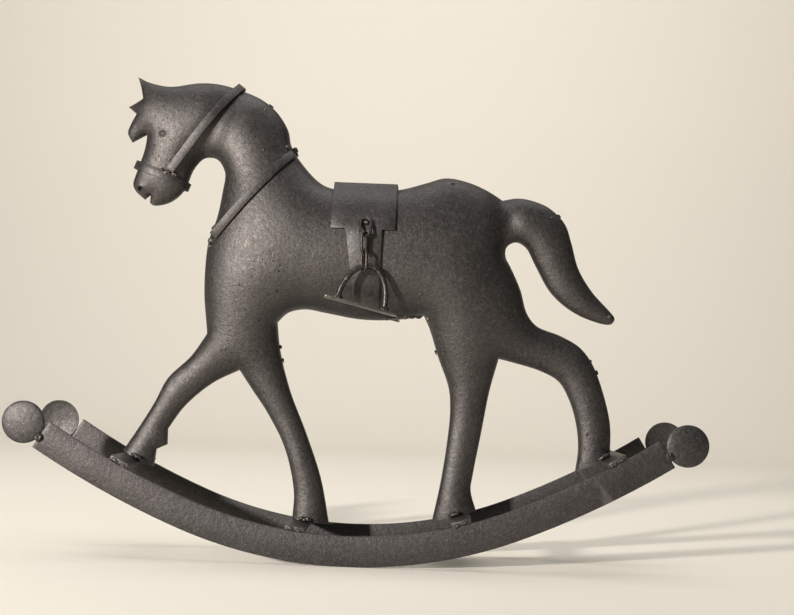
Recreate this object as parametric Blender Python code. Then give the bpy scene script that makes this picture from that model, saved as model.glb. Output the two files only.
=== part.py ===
"""Sheet-steel ornamental rocking horse, built as the welded assembly it is.

Frame: metres, +Z up, origin on the floor midway between the two rockers at their lowest point.
The horse looks along -X, its left side faces -Y. "left" and "right" are the horse's own.
"""

import math

import bmesh
import bpy
import numpy as np
from mathutils import Matrix, Vector
from mathutils.bvhtree import BVHTree
from mathutils.geometry import delaunay_2d_cdt

MM = 0.001
GAP = 0.3 * MM  # clearance between neighbouring solids

# Rockers: flat strip on edge, bent tighter in the middle than towards its ends
ROCKER_SPACING = 100.0 * MM  # centre plane to centre plane
STRIP_THICKNESS = 3.0 * MM
STRIP_HEIGHT = 26.0 * MM
ROCKER_RADIUS = 394.5 * MM  # of the rolling edge in the middle
ROCKER_END_RADIUS = 776.6 * MM
ROCKER_MIDDLE = 152.5 * MM  # from the lowest point to where the flatter bend starts
ROCKER_LENGTHS = {-1: 290.0 * MM, 1: 296.0 * MM}  # lowest point to the front and rear end
ROCKER_FACET = 14.5 * MM  # the bend is made of flats, the middle one level on the floor

# End discs: domed pressings welded edge to edge with the rocker ends
DISC_RADIUS = 18.3 * MM
DISC_THICKNESS = 2.0 * MM
DISC_DOME = 2.2 * MM
DISC_WELD_RADIUS = 4.2 * MM
DISC_WELD_HEIGHT = 2.6 * MM
DISC_WELD_DROP = 3.0 * MM  # below the middle of the strip's end
DISC_DROP = {-1: 0.0, 1: 3.0 * MM}  # disc's middle below the strip's middle line

# Cross slats on the rockers' top edges, each under one hoof
SLAT_WIDTH = 17.0 * MM
SLAT_THICKNESS = 4.0 * MM
SLAT_X = {
    "lead_forefoot": -201.0 * MM,
    "trailing_forefoot": -49.0 * MM,
    "lead_hindfoot": 93.5 * MM,
    "trailing_hindfoot": 225.0 * MM,
}

# Pressed half shells
SHEET = 1.2 * MM
PUFF = 0.55  # bulge of a half shell as a share of its half width
EDGE_STEP = 10.0 * MM
GRID_STEP = 14.0 * MM
SHOULDER_STEP = 4.0 * MM  # first row of points inside the rim
GROOVE_WIDTH = 11.0 * MM

# Saddle plate, folded over the back. X and Z are the outline's, in millimetres.
PLATE = 1.5 * MM
SADDLE_RISE = 4.0 * MM  # of its top fold over the back
SADDLE_EASE = 8.0 * MM  # how far past the plate's edges its top fold clears the back
SADDLE_SAMPLES = 90
FOLD_FLAT = 4.0 * MM  # half width of the flat along the fold
FOLD_HALF_WIDTH = 10.0 * MM
FOLD_DROP = 0.5 * MM  # of the plate from the flat to the fold's half width
SADDLE_X = 1.5
SADDLE_HALF_WIDTH = 28.0 * MM
SADDLE_STEP = 257.5  # where the wide flap steps in to the narrow one
SADDLE_HEM = 191.5
GIRTH_FRONT = (-13.5, -4.0)  # front edge at the step and at the hem
GIRTH_REAR = (18.3, 17.5)

# Straps of flat strip, their two ends on the outline's axes in millimetres
STRAP_WIDTH = 7.5 * MM
NECK_STRAP_WIDTH = 7.5 * MM
STRAP_CLEARANCE = 0.8 * MM
CHEEK_STRAP = ((-113.0, 384.5), (-171.5, 305.2))
NOSEBAND = ((-201.8, 310.6), (-160.0, 294.2))
NECK_STRAP = ((-63.5, 324.5), (-130.5, 249.0))
NOSEBAND_LUG = 2.2 * MM  # how far the band stands past the muzzle's outline

# Chain and stirrup
WIRE = 2.5 * MM
LINK_LENGTH = 21.0 * MM
LINK_WIDTH = 11.5 * MM
LINK_BEND_FLATS = 6
LINK_YAW = (0.0, 57.0, 122.0)  # degrees, each link turned against the next
LINK_CLEARANCE = 0.75 * MM  # between two wires that hook into each other
CHAIN_TOP = (4.0, 268.5)  # on the outline's axes, in millimetres
CHAIN_CLEARANCE = 2.4 * MM  # of the hanging links to the flap
CHAIN_STAND_OFF = 1.0 * MM  # of the top link's upper wire from the flap
CHAIN_WELD = (2.3 * MM, 2.0 * MM)  # radius and height
STIRRUP_YAW = 7.0
STIRRUP_ROD = 4.8 * MM
STIRRUP_HALF_WIDTH = 20.6 * MM
STIRRUP_RISE = 33.8 * MM
STIRRUP_CATCH = 6.9 * MM  # how far ahead of the arch's middle the last link has caught
TREAD_LENGTH = 65.0 * MM
TREAD_WIDTH = 16.0 * MM
TREAD_THICKNESS = 2.0 * MM
TREAD_CORNER = 3.0 * MM
COLLAR_RADIUS = 4.5 * MM
COLLAR_HEIGHT = 2.6 * MM

# Weld beads: half length along the seam, half width, height over the metal
SEAM_BEAD = (2.6 * MM, 1.6 * MM, 0.6 * MM)
HOOF_BEAD = (7.0 * MM, 2.4 * MM, 2.2 * MM)

STEEL = {
    "shell": ((0.105, 0.091, 0.082, 1.0), 0.62),
    "strip": ((0.098, 0.088, 0.083, 1.0), 0.58),
    "fitting": ((0.115, 0.101, 0.094, 1.0), 0.55),
    "weld": ((0.150, 0.135, 0.125, 1.0), 0.45),
}

# The horse's outline, in millimetres: X from HORSE_X, Z above the sole of the trailing
# forefoot. Each run is one smooth edge between two corners, and the next run
# starts where it ends. A run that is the name of a hoof is its flat sole, set by its slat.
HORSE_X = -2.95 * MM
OUTLINE = [
    [(-205.5, 389.5), (-195, 385), (-175.5, 382), (-150.5, 386), (-131, 385.5), (-109, 379.5),
     (-94.5, 373.5), (-81, 363), (-70.5, 347.5), (-67, 333.5), (-56, 317), (-38.5, 300.5),
     (-22, 295.5), (-1.5, 295), (31.5, 298), (53.5, 304.5), (72, 310), (93.5, 306.5),
     (111.5, 299), (123, 292)],  # ear, poll, crest, back and croup
    [(137, 294.5), (151, 292.5), (165.5, 286.5), (179.5, 273), (185.5, 257.5), (193, 233.5),
     (206, 213.5), (223, 196), (227, 190.5), (224, 185.5), (205, 188.5), (185, 198),
     (168.5, 212.5), (154.5, 235.5), (145.5, 251), (136.5, 255.5), (128.5, 251),
     (127.5, 242.5), (133, 232), (142, 213), (148.5, 192.5), (157.5, 181.5), (179, 173.5),
     (196.5, 164), (208.5, 149.5), (219.5, 123), (226.5, 95.5)],  # tail, rump, trailing hock
    "trailing_hindfoot",
    [(199, 74), (196, 97), (188.5, 118.5), (179, 133), (162.5, 141.5), (140.5, 147.5),
     (125, 151)],
    [(118, 122.5), (112, 85), (106, 47.5), (104.5, 33)],
    "lead_hindfoot",
    [(77, 36.5), (81.5, 71.5), (83.5, 101.5), (81.5, 123), (71, 150.5), (62.5, 175),
     (57, 186.5)],
    [(29.5, 182), (0, 181.5), (-31, 186), (-49, 188.5), (-64, 185), (-73.5, 176)],  # belly
    [(-70, 151), (-60, 116), (-44, 78), (-29.5, 38.5)],
    "trailing_forefoot",
    [(-53, 26), (-62.5, 64), (-78.5, 94), (-95.5, 118), (-105.5, 132.3)],
    [(-129.5, 119.5), (-153.5, 98), (-167.5, 77.5)],
    [(-167.5, 63.5)],
    [(-177, 59)],
    "lead_forefoot",
    [(-191.5, 80.5), (-180, 100.5), (-169, 122.5), (-149, 143), (-135.5, 163.5)],
    [(-139.5, 202), (-137.5, 244), (-130.5, 266.5), (-126.5, 290), (-125, 307), (-132.5, 319),
     (-143.5, 320), (-153, 310), (-161, 290.5), (-173, 279.5), (-188, 276), (-191, 278)],
    [(-190.5, 285.5)],  # mouth
    [(-196, 281)],
    [(-204, 288), (-206.5, 294), (-203, 306.5), (-197.5, 324), (-195.5, 337.5), (-196, 339)],
    [(-209, 331.5)],  # forelock
    [(-213, 339.5), (-210.5, 347.5), (-205.5, 356.5)],
    [(-213, 362.5)],
    [(-200.5, 370)],
    [(-202.5, 380), (-205.5, 389.5)],
]
SOLES = {  # each sole's two ends along its slat, from the slat's middle, in outline order
    "trailing_hindfoot": (2.0 * MM, -33.0 * MM),
    "lead_hindfoot": (15.0 * MM, -25.0 * MM),
    "trailing_forefoot": (25.0 * MM, -8.0 * MM),
    "lead_forefoot": (19.1 * MM, -11.4 * MM),
}
# Pressed-in valleys in millimetres, on the outline's axes: two ends and the depth there
GROOVES = [
    ((-146, 318), (-112, 380), 5.0),  # jaw to poll
    ((125, 292), (128, 248), 6.0),  # root of the tail
]
SEAM_BEADS = [
    (-67, 333), (-136.5, 250), (-89, 368), (57, 186), (73, 147), (-70, 151), (209, 149),
    (170, 284), (226, 190),
]

material_cache = {}


def steel(kind):
    """Painted steel of one of the finishes in STEEL."""
    if kind not in material_cache:
        colour, roughness = STEEL[kind]
        made = bpy.data.materials.new("painted_steel_" + kind)
        made.use_nodes = True
        shader = made.node_tree.nodes["Principled BSDF"]
        shader.inputs["Base Color"].default_value = colour
        shader.inputs["Roughness"].default_value = roughness
        shader.inputs["Metallic"].default_value = 0.35
        material_cache[kind] = made
    return material_cache[kind]


def piece(name, points, faces, kind, smooth=False):
    """One closed mesh object, its faces turned outwards."""
    mesh = bpy.data.meshes.new(name)
    mesh.from_pydata([tuple(point) for point in points], [], faces)
    shape = bmesh.new()
    shape.from_mesh(mesh)
    bmesh.ops.recalc_face_normals(shape, faces=shape.faces)
    if shape.calc_volume(signed=True) < 0:
        bmesh.ops.reverse_faces(shape, faces=shape.faces)
    shape.to_mesh(mesh)
    shape.free()
    mesh.materials.append(steel(kind))
    if smooth:
        mesh.shade_smooth()
        mesh.set_sharp_from_angle(angle=math.radians(40))
    made = bpy.data.objects.new(name, mesh)
    bpy.context.scene.collection.objects.link(made)
    return made


def prism(name, outline, start, along, kind):
    """The outline (3-D points, one plane) from start to start + along."""
    count = len(outline)
    low = [Vector(point) + start for point in outline]
    high = [point + along for point in low]
    sides = [(i, (i + 1) % count, (i + 1) % count + count, i + count) for i in range(count)]
    caps = [tuple(range(count)), tuple(range(count, 2 * count))]
    return piece(name, low + high, sides + caps, kind)


def turned(name, profile, centre, axis, segments, kind, closed=False):
    """A profile of (radius, height) points turned about axis. A zero radius makes a pole."""
    axis = axis.normalized()
    side = axis.orthogonal().normalized()
    other = axis.cross(side)
    points, rings = [], []
    for radius, height in profile:
        rings.append([])
        for i in range(segments if radius > 0 else 1):
            angle = 2 * math.pi * (i + 0.5) / segments
            spoke = side * math.cos(angle) + other * math.sin(angle)
            rings[-1].append(len(points))
            points.append(centre + axis * height + spoke * radius)
    pairs = list(zip(rings, rings[1:]))
    if closed:
        pairs.append((rings[-1], rings[0]))
    faces = []
    for first, second in pairs:
        for i in range(segments):
            j = (i + 1) % segments
            ring = [first[i % len(first)], first[j % len(first)],
                    second[j % len(second)], second[i % len(second)]]
            faces.append(tuple(dict.fromkeys(ring)))
    return piece(name, points, faces, kind, smooth=True)


def bead(name, centre, radii, axes, kind="weld"):
    """An ellipsoid of weld metal with its half sizes along three unit axes."""
    segments, rows = 8, 4
    points, faces = [], []
    for row in range(1, rows):
        for i in range(segments):
            polar = math.pi * row / rows
            turn = 2 * math.pi * i / segments
            unit = (math.sin(polar) * math.cos(turn), math.sin(polar) * math.sin(turn),
                    math.cos(polar))
            points.append(centre + sum((a * r * u for a, r, u in zip(axes, radii, unit)),
                                       Vector()))
    top, bottom = len(points), len(points) + 1
    points += [centre + axes[2] * radii[2], centre - axes[2] * radii[2]]
    for i in range(segments):
        j = (i + 1) % segments
        faces.append((top, i, j))
        for row in range(rows - 2):
            low, high = row * segments, (row + 1) * segments
            faces.append((low + i, high + i, high + j, low + j))
        last = (rows - 2) * segments
        faces.append((last + i, bottom, last + j))
    return piece(name, points, faces, kind, smooth=True)


def rod(name, path, radius, sides, kind, closed=False):
    """A round bar along a path of points that lies in one plane."""
    count = len(path)
    spread = max((a - path[0] for a in path), key=lambda v: v.length)
    flat = max((spread.cross(a - path[0]) for a in path), key=lambda v: v.length).normalized()
    points, faces = [], []
    for i, point in enumerate(path):
        before = path[i - 1] if i or closed else point
        after = path[(i + 1) % count] if closed or i + 1 < count else point
        along = (after - before).normalized()
        across = along.cross(flat)
        for k in range(sides):
            angle = 2 * math.pi * (k + 0.5) / sides
            points.append(point + (across * math.cos(angle) + flat * math.sin(angle)) * radius)
    for i in range(count if closed else count - 1):
        low, high = i * sides, (i + 1) % count * sides
        for k in range(sides):
            m = (k + 1) % sides
            faces.append((low + k, low + m, high + m, high + k))
    if not closed:
        faces += [tuple(range(sides)), tuple(range((count - 1) * sides, count * sides))]
    return piece(name, points, faces, kind, smooth=True)


def pivot(name, place, parent=None):
    """An empty on a joint's axis, which carries the pieces that move about it."""
    made = bpy.data.objects.new(name, None)
    bpy.context.scene.collection.objects.link(made)
    made.empty_display_size = 0.01
    made.location = place
    if parent:
        bpy.context.view_layer.update()
        made.parent = parent
        made.matrix_parent_inverse = parent.matrix_world.inverted()
    return made


def carry(parent, *pieces):
    """Parent pieces without moving them, with their origins on the parent's axis."""
    bpy.context.view_layer.update()
    for child in pieces:
        child.data.transform(Matrix.Translation(-parent.matrix_world.translation))
        child.parent = parent


# Rockers


def bend_angle(length):
    """How far the rolling edge has turned at this length from its lowest point."""
    middle = min(length, ROCKER_MIDDLE)
    return middle / ROCKER_RADIUS + (length - middle) / ROCKER_END_RADIUS


def curve_point(angle, inset):
    """(x, z) from the lowest point, at a distance inside the rolling edge where it turned."""
    turn = min(abs(angle), ROCKER_MIDDLE / ROCKER_RADIUS)
    middle, end = ROCKER_RADIUS - inset, ROCKER_END_RADIUS - inset
    across = middle * math.sin(turn) + end * (math.sin(abs(angle)) - math.sin(turn))
    down = middle * math.cos(turn) + end * (math.cos(angle) - math.cos(turn))
    return Vector((math.copysign(across, angle), ROCKER_RADIUS - down))


def disc_middle(end):
    """(x, z) from the rockers' lowest point of an end disc's middle."""
    angle = end * bend_angle(ROCKER_LENGTHS[end])
    tip = curve_point(angle, STRIP_HEIGHT / 2)
    out = Vector((math.cos(angle), math.sin(angle))) * end
    down = Vector((math.sin(angle), -math.cos(angle)))
    return tip + out * (DISC_RADIUS + GAP) + down * DISC_DROP[end]


def lowest_x():
    """Where the rockers touch the floor, with the origin midway between the end discs."""
    return -(disc_middle(-1).x + disc_middle(1).x) / 2


def rocker_point(angle, inset):
    point = curve_point(angle, inset)
    return Vector((point.x + lowest_x(), 0.0, point.y))


def up_from(angle):
    return Vector((-math.sin(angle), 0.0, math.cos(angle)))


def rocker_outline():
    """The strip seen from the side: its flats touch the true bends at their middles."""
    low, high = [], []
    for end in (-1, 1):
        flats = int((ROCKER_LENGTHS[end] - ROCKER_FACET) / ROCKER_FACET)
        lengths = [ROCKER_FACET * (i + 0.5) for i in range(flats + 1)]
        side = []
        for length in lengths:
            angle = end * bend_angle(length)
            radius = ROCKER_RADIUS if length < ROCKER_MIDDLE else ROCKER_END_RADIUS
            corner = rocker_point(angle, -ROCKER_FACET**2 / (8 * radius))
            side.append((corner, corner + up_from(angle) * STRIP_HEIGHT))
        angle = end * bend_angle(ROCKER_LENGTHS[end])
        side.append((rocker_point(angle, 0.0), rocker_point(angle, STRIP_HEIGHT)))
        side = side[::end]
        low += [corners[0] for corners in side]
        high += [corners[1] for corners in side]
    return low + high[::-1]


def build_rocker(side_name, side):
    y = side * ROCKER_SPACING / 2
    start = Vector((0.0, y - STRIP_THICKNESS / 2, 0.0))
    prism("rocker_" + side_name, rocker_outline(), start,
          Vector((0.0, STRIP_THICKNESS, 0.0)), "strip")
    for end_name, end in (("front", -1), ("rear", 1)):
        build_end_disc(f"{end_name}_{side_name}", end, side)


def build_end_disc(place, end, side):
    """A domed disc whose edge meets the strip's end, with its weld button on the outside."""
    outward = Vector((0.0, side, 0.0))
    middle = disc_middle(end)
    centre = Vector((middle.x + lowest_x(), side * ROCKER_SPACING / 2, middle.y))
    half = DISC_THICKNESS / 2
    rings = [1.0, 0.8, 0.45, 0.0]
    front = [(DISC_RADIUS * r, half + DISC_DOME * (1 - r * r)) for r in rings]
    back = [(radius, height - DISC_THICKNESS) for radius, height in front]
    turned("end_disc_" + place, front[::-1] + back, centre, outward, 24, "strip")
    angle = end * bend_angle(ROCKER_LENGTHS[end])
    spot = rocker_point(angle, STRIP_HEIGHT / 2 - DISC_WELD_DROP)
    spot.y = side * (ROCKER_SPACING / 2 + STRIP_THICKNESS / 2 + GAP)
    dome = [(0.0, 0.0)]
    dome += [(DISC_WELD_RADIUS * math.cos(a), DISC_WELD_HEIGHT * math.sin(a))
             for a in (0.0, 0.5, 1.0)]
    dome.append((0.0, DISC_WELD_HEIGHT))
    turned("disc_weld_" + place, dome, spot, outward, 12, "weld")


# Cross slats


def slat_frame(x):
    """(middle of the slat's top face, unit along the rockers, unit up) for a slat at x."""
    middle, end = ROCKER_RADIUS - STRIP_HEIGHT, ROCKER_END_RADIUS - STRIP_HEIGHT
    knee = math.sin(ROCKER_MIDDLE / ROCKER_RADIUS)
    away = abs(x - lowest_x())
    sine = away / middle
    if sine > knee:
        sine = knee + (away - middle * knee) / end
    angle = math.copysign(math.asin(sine), x - lowest_x())
    hollow = SLAT_WIDTH**2 / (8 * middle)
    foot = rocker_point(angle, STRIP_HEIGHT + hollow + GAP)
    along = Vector((math.cos(angle), 0.0, math.sin(angle)))
    up = up_from(angle)
    return foot + up * SLAT_THICKNESS, along, up


def build_slat(name, x):
    top, along, up = slat_frame(x)
    half = along * SLAT_WIDTH / 2
    down = up * SLAT_THICKNESS
    section = [top - half, top + half, top + half - down, top - half - down]
    reach = ROCKER_SPACING + STRIP_THICKNESS
    prism("cross_slat_" + name, section, Vector((0.0, -reach / 2, 0.0)),
          Vector((0.0, reach, 0.0)), "strip")


# Half shells


def sole_point(name, distance):
    top, along, up = slat_frame(SLAT_X[name])
    return top + along * distance + up * GAP


def datum():
    """Height of the outline's zero: the sole of the trailing forefoot."""
    start, end = (sole_point("trailing_forefoot", d) for d in SOLES["trailing_forefoot"])
    return (start.z + end.z) / 2


def on_outline(x, z):
    """Outline millimetres to metres in the part's frame."""
    return Vector((x * MM + HORSE_X, z * MM + datum()))


def smooth_run(points, step):
    """Centripetal Catmull-Rom curve through the points, at about one step a segment."""
    points = [points[0] * 2 - points[1]] + points + [points[-1] * 2 - points[-2]]
    fine = []
    for p0, p1, p2, p3 in zip(points, points[1:], points[2:], points[3:]):
        k = [0.0]
        for a, b in ((p0, p1), (p1, p2), (p2, p3)):
            k.append(k[-1] + math.sqrt((b - a).length))
        for i in range(12):
            t = k[1] + (k[2] - k[1]) * i / 12
            a1 = p0 * ((k[1] - t) / (k[1] - k[0])) + p1 * ((t - k[0]) / (k[1] - k[0]))
            a2 = p1 * ((k[2] - t) / (k[2] - k[1])) + p2 * ((t - k[1]) / (k[2] - k[1]))
            a3 = p2 * ((k[3] - t) / (k[3] - k[2])) + p3 * ((t - k[2]) / (k[3] - k[2]))
            b1 = a1 * ((k[2] - t) / (k[2] - k[0])) + a2 * ((t - k[0]) / (k[2] - k[0]))
            b2 = a2 * ((k[3] - t) / (k[3] - k[1])) + a3 * ((t - k[1]) / (k[3] - k[1]))
            fine.append(b1 * ((k[2] - t) / (k[2] - k[1])) + b2 * ((t - k[1]) / (k[2] - k[1])))
    fine.append(points[-2])
    lengths = np.cumsum([0.0] + [(b - a).length for a, b in zip(fine, fine[1:])])
    count = max(len(points) - 3, round(lengths[-1] / step))
    marks = np.linspace(0.0, lengths[-1], count + 1)
    return [Vector((float(np.interp(m, lengths, [p.x for p in fine])),
                    float(np.interp(m, lengths, [p.y for p in fine])))) for m in marks]


def horse_outline(step):
    """(points anticlockwise or clockwise once round, set of indices inside the soles)."""
    here = on_outline(*OUTLINE[-1][-1])
    points, soles = [], set()
    for run in OUTLINE:
        if isinstance(run, str):
            start, end = (sole_point(run, d) for d in SOLES[run])
            knots = [Vector((start.x, start.z)), Vector((end.x, end.z))]
            stretch = smooth_run(knots, step)
            soles |= {len(points) + i for i in range(1, len(stretch) - 1)}
        else:
            knots = [on_outline(*point) for point in run]
            index = OUTLINE.index(run)
            following = OUTLINE[(index + 1) % len(OUTLINE)]
            if isinstance(following, str):
                sole = sole_point(following, SOLES[following][0])
                knots.append(Vector((sole.x, sole.z)))
            if (knots[0] - here).length > 1e-6:
                knots.insert(0, here)
            stretch = smooth_run(knots, step)
        points += stretch[:-1]
        here = stretch[-1]
    return points, soles


def inward_normals(outline):
    """Unit mitre directions into the outline, and how far a mitre runs for a unit inset."""
    area = sum(a.cross(b) for a, b in zip(outline, outline[1:] + outline[:1]))
    turn = 1.0 if area > 0 else -1.0
    normals = []
    for i, point in enumerate(outline):
        before = (point - outline[i - 1]).normalized()
        after = (outline[(i + 1) % len(outline)] - point).normalized()
        left = Vector((-before.y, before.x)) * turn
        right = Vector((-after.y, after.x)) * turn
        mitre = (left + right).normalized()
        normals.append(mitre / max(mitre.dot(right), 0.4))
    return normals


def edge_distance(points, outline):
    """Distance of each point to the outline, and whether it lies inside."""
    starts = np.array(outline)
    spans = np.roll(starts, -1, axis=0) - starts
    offsets = points[:, None, :] - starts[None]
    share = np.clip((offsets * spans).sum(-1) / (spans**2).sum(-1), 0.0, 1.0)
    nearest = np.linalg.norm(offsets - share[..., None] * spans, axis=-1).min(axis=1)
    above = points[:, None, 1] < starts[None, :, 1]
    next_above = points[:, None, 1] < (starts + spans)[None, :, 1]
    with np.errstate(divide="ignore", invalid="ignore"):
        crossing = starts[:, 0] + offsets[..., 1] / spans[:, 1] * spans[:, 0]
    crossed = (above != next_above) & (points[:, None, 0] < crossing)
    return nearest, crossed.sum(axis=1) % 2 == 1


def inner_points(outline, grid, shoulder):
    """A row of points just inside the rim and a triangular grid over the rest."""
    mitres = inward_normals(outline)
    ring = np.array([p + m * shoulder for p, m in zip(outline, mitres)][::2])
    nearest, inside = edge_distance(ring, outline)
    ring = ring[inside & (nearest > shoulder * 0.9)]
    low, high = np.min(outline, axis=0), np.max(outline, axis=0)
    row_height = grid * math.sqrt(3) / 2
    rows = np.arange(low[1], high[1], row_height)
    cloud = [(x + (row % 2) * grid / 2, z)
             for row, z in enumerate(rows) for x in np.arange(low[0], high[0], grid)]
    cloud = np.array(cloud)
    nearest, inside = edge_distance(cloud, outline)
    cloud = cloud[inside & (nearest > shoulder + grid * 0.45)]
    return [Vector(p) for p in ring] + [Vector(p) for p in cloud]


def membrane(points, triangles, held):
    """Height of a film blown up over the triangles and held down at some points."""
    places = np.array(points)
    corners = places[triangles]
    stiffness = np.zeros((len(places), len(places)))
    load = np.zeros(len(places))
    edge_1, edge_2 = corners[:, 1] - corners[:, 0], corners[:, 2] - corners[:, 0]
    areas = np.abs(edge_1[:, 0] * edge_2[:, 1] - edge_1[:, 1] * edge_2[:, 0]) / 2
    for a, b, c in ((0, 1, 2), (1, 2, 0), (2, 0, 1)):
        to_a, to_b = corners[:, a] - corners[:, c], corners[:, b] - corners[:, c]
        weight = (to_a * to_b).sum(axis=1) / (4 * areas)
        first, second = triangles[:, a], triangles[:, b]
        np.add.at(stiffness, (first, second), -weight)
        np.add.at(stiffness, (second, first), -weight)
        np.add.at(stiffness, (first, first), weight)
        np.add.at(stiffness, (second, second), weight)
        np.add.at(load, triangles[:, c], areas / 3)
    free = np.array([i for i in range(len(places)) if i not in held])
    film = np.zeros(len(places))
    film[free] = np.linalg.solve(stiffness[np.ix_(free, free)], load[free])
    return PUFF * np.sqrt(2 * np.maximum(film, 0.0))


def groove_depth(point):
    depth = 0.0
    for start, end, deep in GROOVES:
        start, end = on_outline(*start), on_outline(*end)
        span = end - start
        share = max(0.0, min(1.0, (point - start).dot(span) / span.length_squared))
        away = (point - start - span * share).length
        depth += deep * MM * math.exp(-((away / GROOVE_WIDTH) ** 2))
    return depth


def shell_surface():
    """(outline size, plan points, triangles, bulge of each point) of one half shell."""
    outline, soles = horse_outline(EDGE_STEP)
    count = len(outline)
    plan = outline + inner_points(outline, GRID_STEP, SHOULDER_STEP)
    edges = [(i, (i + 1) % count) for i in range(count)]
    made = delaunay_2d_cdt(plan, edges, [list(range(count))], 1, 1e-7)
    order = [source[0] for source in made[3]]
    triangles = np.array([[order[i] for i in face] for face in made[2]])
    held = {i for i in range(count) if i not in soles}
    bulge = membrane(plan, triangles, held)
    for i in range(count, len(plan)):
        bulge[i] = max(bulge[i] * 0.6, bulge[i] - groove_depth(plan[i]))
    return count, plan, triangles, bulge


def build_half_shell(side_name, side, surface):
    """The pressed sheet: skin, cut edge along the seam, and the hollow's inside."""
    count, plan, triangles, bulge = surface
    skin = [Vector((p.x, -(GAP / 2 + SHEET + float(h)), p.y)) for p, h in zip(plan, bulge)]
    normals = [Vector() for _ in plan]
    for a, b, c in triangles:
        facing = (skin[b] - skin[a]).cross(skin[c] - skin[a])
        facing = -facing if facing.y > 0 else facing
        for i in (a, b, c):
            normals[i] += facing
    inside = [point - normal.normalized() * SHEET for point, normal in zip(skin, normals)]
    for i, mitre in enumerate(inward_normals(plan[:count])):
        inset = plan[i] + mitre * SHEET
        inside[i] = Vector((inset.x, -GAP / 2, inset.y))
    rim = [Vector((p.x, -GAP / 2, p.y)) for p in plan[:count]]
    points = skin + inside + rim
    size = len(plan)
    faces = [tuple(int(i) for i in face) for face in triangles]
    faces += [tuple(int(i) + size for i in face[::-1]) for face in triangles]
    for i in range(count):
        j = (i + 1) % count
        faces.append((i, j, 2 * size + j, 2 * size + i))
        faces.append((2 * size + i, 2 * size + j, size + j, size + i))
    points = [Vector((p.x, -side * p.y, p.z)) for p in points]
    piece("body_shell_" + side_name, points, faces, "shell", smooth=True)
    return BVHTree.FromPolygons([tuple(p) for p in skin], [tuple(f) for f in triangles.tolist()])


def skin_height(tree, x, z):
    """How far the left shell's skin stands from the seam plane at (x, z); 0 off the shell."""
    hit = tree.ray_cast(Vector((x, -1.0, z)), Vector((0.0, 1.0, 0.0)))[0]
    return -hit.y if hit else 0.0


# Straps and saddle, bent over the shells


def upper_hull(points):
    """Taut line over (distance, height) points sorted by distance."""
    hull = []
    for point in points:
        while len(hull) > 1:
            (x1, y1), (x2, y2) = hull[-2:]
            if (x2 - x1) * (point[1] - y1) - (y2 - y1) * (point[0] - x1) >= 0:
                hull.pop()
            else:
                break
        hull.append(point)
    return hull


def thickened(line, thickness):
    """The line's points moved square to it by thickness, mitred at each bend."""
    moved = []
    for i, point in enumerate(line):
        before = point - line[i - 1] if i else line[1] - point
        after = line[i + 1] - point if i + 1 < len(line) else point - line[i - 1]
        left = Vector((-before.y, before.x)).normalized()
        right = Vector((-after.y, after.x)).normalized()
        mitre = (left + right).normalized()
        moved.append(point + mitre * thickness / max(mitre.dot(right), 0.5))
    return moved


def thinned(line, least=3.5 * MM):
    """The line without points closer than least to the one before; both ends stay."""
    keep = [line[0]]
    for point in line[1:-1]:
        if math.dist(point, keep[-1]) > least and math.dist(point, line[-1]) > least:
            keep.append(point)
    return keep + [line[-1]]


def taut_line(tree, start, end, width, samples=60):
    """Inner face of a strap drawn tight from start to end: (distance, height) points."""
    span = end - start
    across = Vector((-span.y, span.x)).normalized()
    line = []
    for i in range(samples + 1):
        middle = start + span * i / samples
        spots = [middle + across * width * share for share in (-0.5, -0.25, 0.0, 0.25, 0.5)]
        height = max(skin_height(tree, spot.x, spot.y) for spot in spots)
        line.append((span.length * i / samples, height + STRAP_CLEARANCE))
    return [Vector(point) for point in thinned(upper_hull(line))]


def strap_from(name, inner, outer, start, end, width, side):
    """Extrude the closed band between two (distance, height) lines across its width."""
    span = (end - start).normalized()
    across = Vector((-span.y, 0.0, span.x))
    section = [Vector((start.x + span.x * p.x, side * p.y, start.y + span.y * p.x))
               for p in inner + outer[::-1]]
    return prism(name, section, across * -width / 2, across * width, "strip")


def build_strap(name, tree, ends, width, side):
    start, end = (on_outline(*point) for point in ends)
    inner = taut_line(tree, start, end, width)
    strap_from(name, inner, thickened(inner, PLATE), start, end, width, side)


def build_noseband(tree):
    """A band closed round the muzzle: one hoop, its two sides taut over both shells."""
    start, end = (on_outline(*point) for point in NOSEBAND)
    left = taut_line(tree, start, end, STRAP_WIDTH)
    length = (end - start).length
    low = STRAP_CLEARANCE + SHEET
    left = [Vector((-NOSEBAND_LUG, low))] + left[1:-1] + [Vector((length + NOSEBAND_LUG, low))]
    left = [Vector(p) for p in upper_hull([tuple(p) for p in left])]
    outer = thickened(left, PLATE)
    outer[0] = Vector((left[0].x - PLATE, left[0].y))
    outer[-1] = Vector((left[-1].x + PLATE, left[-1].y))
    span = (end - start).normalized()
    across = Vector((-span.y, 0.0, span.x)) * STRAP_WIDTH
    points, faces = [], []
    loops = []
    for line in (left, outer):
        loop = line + [Vector((p.x, -p.y)) for p in line[::-1]]
        loops.append([Vector((start.x + span.x * p.x, -p.y, start.y + span.y * p.x))
                      for p in loop])
    count = len(loops[0])
    for shift in (-0.5, 0.5):
        for loop in loops:
            points += [p + across * shift for p in loop]
    for i in range(count):
        j = (i + 1) % count
        a, b, c, d = 0, count, 2 * count, 3 * count
        faces += [(a + i, a + j, b + j, b + i), (c + i, c + j, d + j, d + i),
                  (a + i, a + j, c + j, c + i), (b + i, b + j, d + j, d + i)]
    piece("noseband", points, faces, "strip")


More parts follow.
